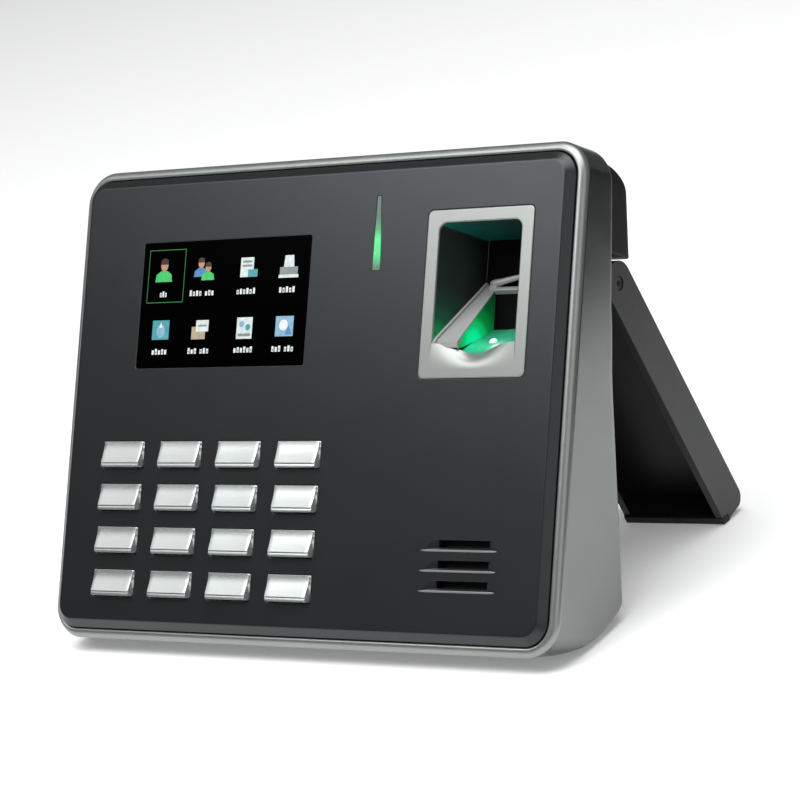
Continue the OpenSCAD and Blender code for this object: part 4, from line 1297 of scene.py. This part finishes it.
def bevelled(node, name, mat, width=0.4, segs=3, ang=25.0, body="base", cut=None, keep=None, replace=True):
    """A copy of a CAD solid's mesh with its flat faces merged and its sharp edges rounded."""
    src = frame["nodes"][node]
    me = src.data.copy()
    me.name = name
    me.transform(src.matrix_world)
    bm = bmesh.new()
    bm.from_mesh(me)
    bmesh.ops.remove_doubles(bm, verts=bm.verts, dist=2e-6)
    if cut is not None:
        co, no = cut
        bmesh.ops.bisect_plane(bm, geom=bm.verts[:] + bm.edges[:] + bm.faces[:], plane_co=co, plane_no=no, clear_outer=True, dist=1e-7)
    bmesh.ops.dissolve_limit(bm, angle_limit=math.radians(0.6), use_dissolve_boundaries=False, verts=bm.verts, edges=bm.edges, delimit=set())
    bm.normal_update()
    edges = [e for e in bm.edges if len(e.link_faces) == 2 and e.calc_face_angle(0) > math.radians(ang)]
    if edges and width > 0:
        bmesh.ops.bevel(bm, geom=edges, offset=width / 1000.0, offset_type="OFFSET", segments=segs, profile=0.5, affect="EDGES", clamp_overlap=True, miter_outer="ARC", loop_slide=True)
    bmesh.ops.remove_doubles(bm, verts=bm.verts, dist=1e-6)
    bm.normal_update()
    a = math.radians(35)
    for f in bm.faces:
        f.smooth = True
    for e in bm.edges:
        if len(e.link_faces) == 2:
            e.smooth = e.calc_face_angle(0.0) < a
    bm.to_mesh(me)
    bm.free()
    me.materials.clear()
    me.materials.append(mat)
    o = bpy.data.objects.new(name, me)
    bpy.context.scene.collection.objects.link(o)
    m = o.modifiers.new("wn", "WEIGHTED_NORMAL")
    m.keep_sharp = True
    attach(o, body)
    if replace:
        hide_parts(node)
    return o


# the cover's lower panel, hinge ears and bulge: the CAD solid below the block, edges rounded
bevelled("rear_cover", "rear_panel", M_COVER, 0.35, 3, cut=(D(0, 111.38, 14), (D(0, 1, 0) - D(0, 0, 0)).normalized()))
bevelled("stand", "stand_legs", M_STAND, 0.7, 4, body="stand_leg")
bevelled("stand_foot", "stand_feet", M_RUBBER, 0.3, 3, body="stand_leg")
bevelled("hinge_pins", "pins", M_STAND, 0.2, 3)
bevelled("hinge_washers", "washers", M_WHITE, 0.08, 2)
bevelled("cover_screws", "back_screws", M_PLATED, 0.25, 3)
bevelled("rubber_feet", "base_feet", M_RUBBER, 0.3, 3)
bevelled("usb_socket", "data_socket", M_PLATED, 0.12, 2)
bevelled("dc_jack", "power_inlet", M_CHIP, 0.2, 3)
bevelled("tamper_plunger", "tamper_pin", M_WHITE, 0.3, 3, body="plunger")

# ------------------------------------------------------------------ stage, light, camera
def stage_floor():
    me = bpy.data.meshes.new("floor")
    s = 14.0
    me.from_pydata([(-s, -s, 0), (s, -s, 0), (s, s, 0), (-s, s, 0)], [], [(0, 1, 2, 3)])
    m, nt, p = new_mat("floor_white")
    p.inputs["Base Color"].default_value = (0.86, 0.86, 0.86, 1)
    n = nt.nodes.new("ShaderNodeTexNoise")
    n.inputs["Scale"].default_value = 3
    mr = nt.nodes.new("ShaderNodeMapRange")
    mr.inputs["To Min"].default_value = 0.75
    mr.inputs["To Max"].default_value = 0.85
    nt.links.new(n.outputs["Fac"], mr.inputs["Value"])
    nt.links.new(mr.outputs[0], p.inputs["Roughness"])
    p.inputs["Specular IOR Level"].default_value = 0.1
    p.inputs["Emission Color"].default_value = (1.0, 1.0, 1.0, 1)
    p.inputs["Emission Strength"].default_value = 0.19
    me.materials.append(m)
    o = bpy.data.objects.new("floor", me)
    bpy.context.scene.collection.objects.link(o)
    o.location.z = -0.0002
    return o


stage_floor()


def area(name, loc, target, size, power, color=(1, 1, 1), size_y=None):
    l = bpy.data.lights.new(name, "AREA")
    l.energy = power
    l.color = color
    l.size = size
    if size_y:
        l.shape = "RECTANGLE"
        l.size_y = size_y
    o = bpy.data.objects.new(name, l)
    bpy.context.scene.collection.objects.link(o)
    o.location = loc
    d = Vector(target) - Vector(loc)
    o.rotation_euler = d.to_track_quat("-Z", "Y").to_euler()
    return o


scene = bpy.context.scene
scene.view_settings.view_transform = "Standard"
w = bpy.data.worlds.new("studio")
w.use_nodes = True
bg = w.node_tree.nodes["Background"]
bg.inputs["Color"].default_value = (0.93, 0.965, 1.0, 1)
bg.inputs["Strength"].default_value = 0.10
scene.world = w

area("key_top", (0.15, -0.25, 2.2), (0, 0.05, 0.0), 1.9, 56)
# softbox mirrored by the leaning face; nearer its upper right
area("front_box", D(0, 0, 0) + Vector((-0.15, -0.27, 0.535)), D(30, 120, -2), 0.40, 1.6, size_y=0.30)
# higher softbox mirrored by the keys' sloping faces
area("key_box", D(-35, 30, 0) + Vector((-0.56, -0.29, 0.70)), D(-35, 35, 0), 0.46, 0.70, size_y=0.40)
# fill from the right for the rounded edge between face and flank
area("right_fill", D(90, 60, 0) + Vector((0.80, -0.46, 0.39)), D(90, 70, 0), 0.7, 1.5)

# dark cards outside the picture, seen only in the side wall's reflection: they give the flank its falloff
def card(name, pts, shade=0.01):
    me = bpy.data.meshes.new(name)
    me.from_pydata(pts, [], [tuple(range(len(pts)))])
    m, nt, p = new_mat(name + "_black")
    n = nt.nodes.new("ShaderNodeTexNoise")
    n.inputs["Scale"].default_value = 40
    mr = nt.nodes.new("ShaderNodeMapRange")
    mr.inputs["To Min"].default_value = 0.85
    mr.inputs["To Max"].default_value = 0.95
    nt.links.new(n.outputs["Fac"], mr.inputs["Value"])
    nt.links.new(mr.outputs[0], p.inputs["Roughness"])
    p.inputs["Base Color"].default_value = (shade, shade, shade, 1)
    p.inputs["Specular IOR Level"].default_value = 0.0
    me.materials.append(m)
    o = bpy.data.objects.new(name, me)
    bpy.context.scene.collection.objects.link(o)
    o.visible_camera = False
    o.visible_shadow = False
    o.visible_diffuse = False
    o.visible_transmission = False
    return o


card("flank_card", [(0.235, -0.25, 0.004), (4.0, -0.25, 0.004), (4.0, 4.0, 0.004), (0.235, 4.0, 0.004)])

cam = bpy.data.cameras.new("camera")
cam.lens = 138.36
cam.sensor_width = 36
cam.clip_start = 0.01
cam.clip_end = 60
co = bpy.data.objects.new("camera", cam)
bpy.context.scene.collection.objects.link(co)
CAM = Vector((537.201, -599.510 + Y_OFF, 317.116 + Z_OFF)) / 1000.0
F = Vector((-0.59285, 0.74647, -0.30217)).normalized()
R = Vector((0.80525, 0.54480, -0.23401)).normalized()
U = R.cross(F).normalized()
co.matrix_world = Matrix(((R.x, U.x, -F.x, CAM.x), (R.y, U.y, -F.y, CAM.y), (R.z, U.z, -F.z, CAM.z), (0, 0, 0, 1)))
scene.camera = co
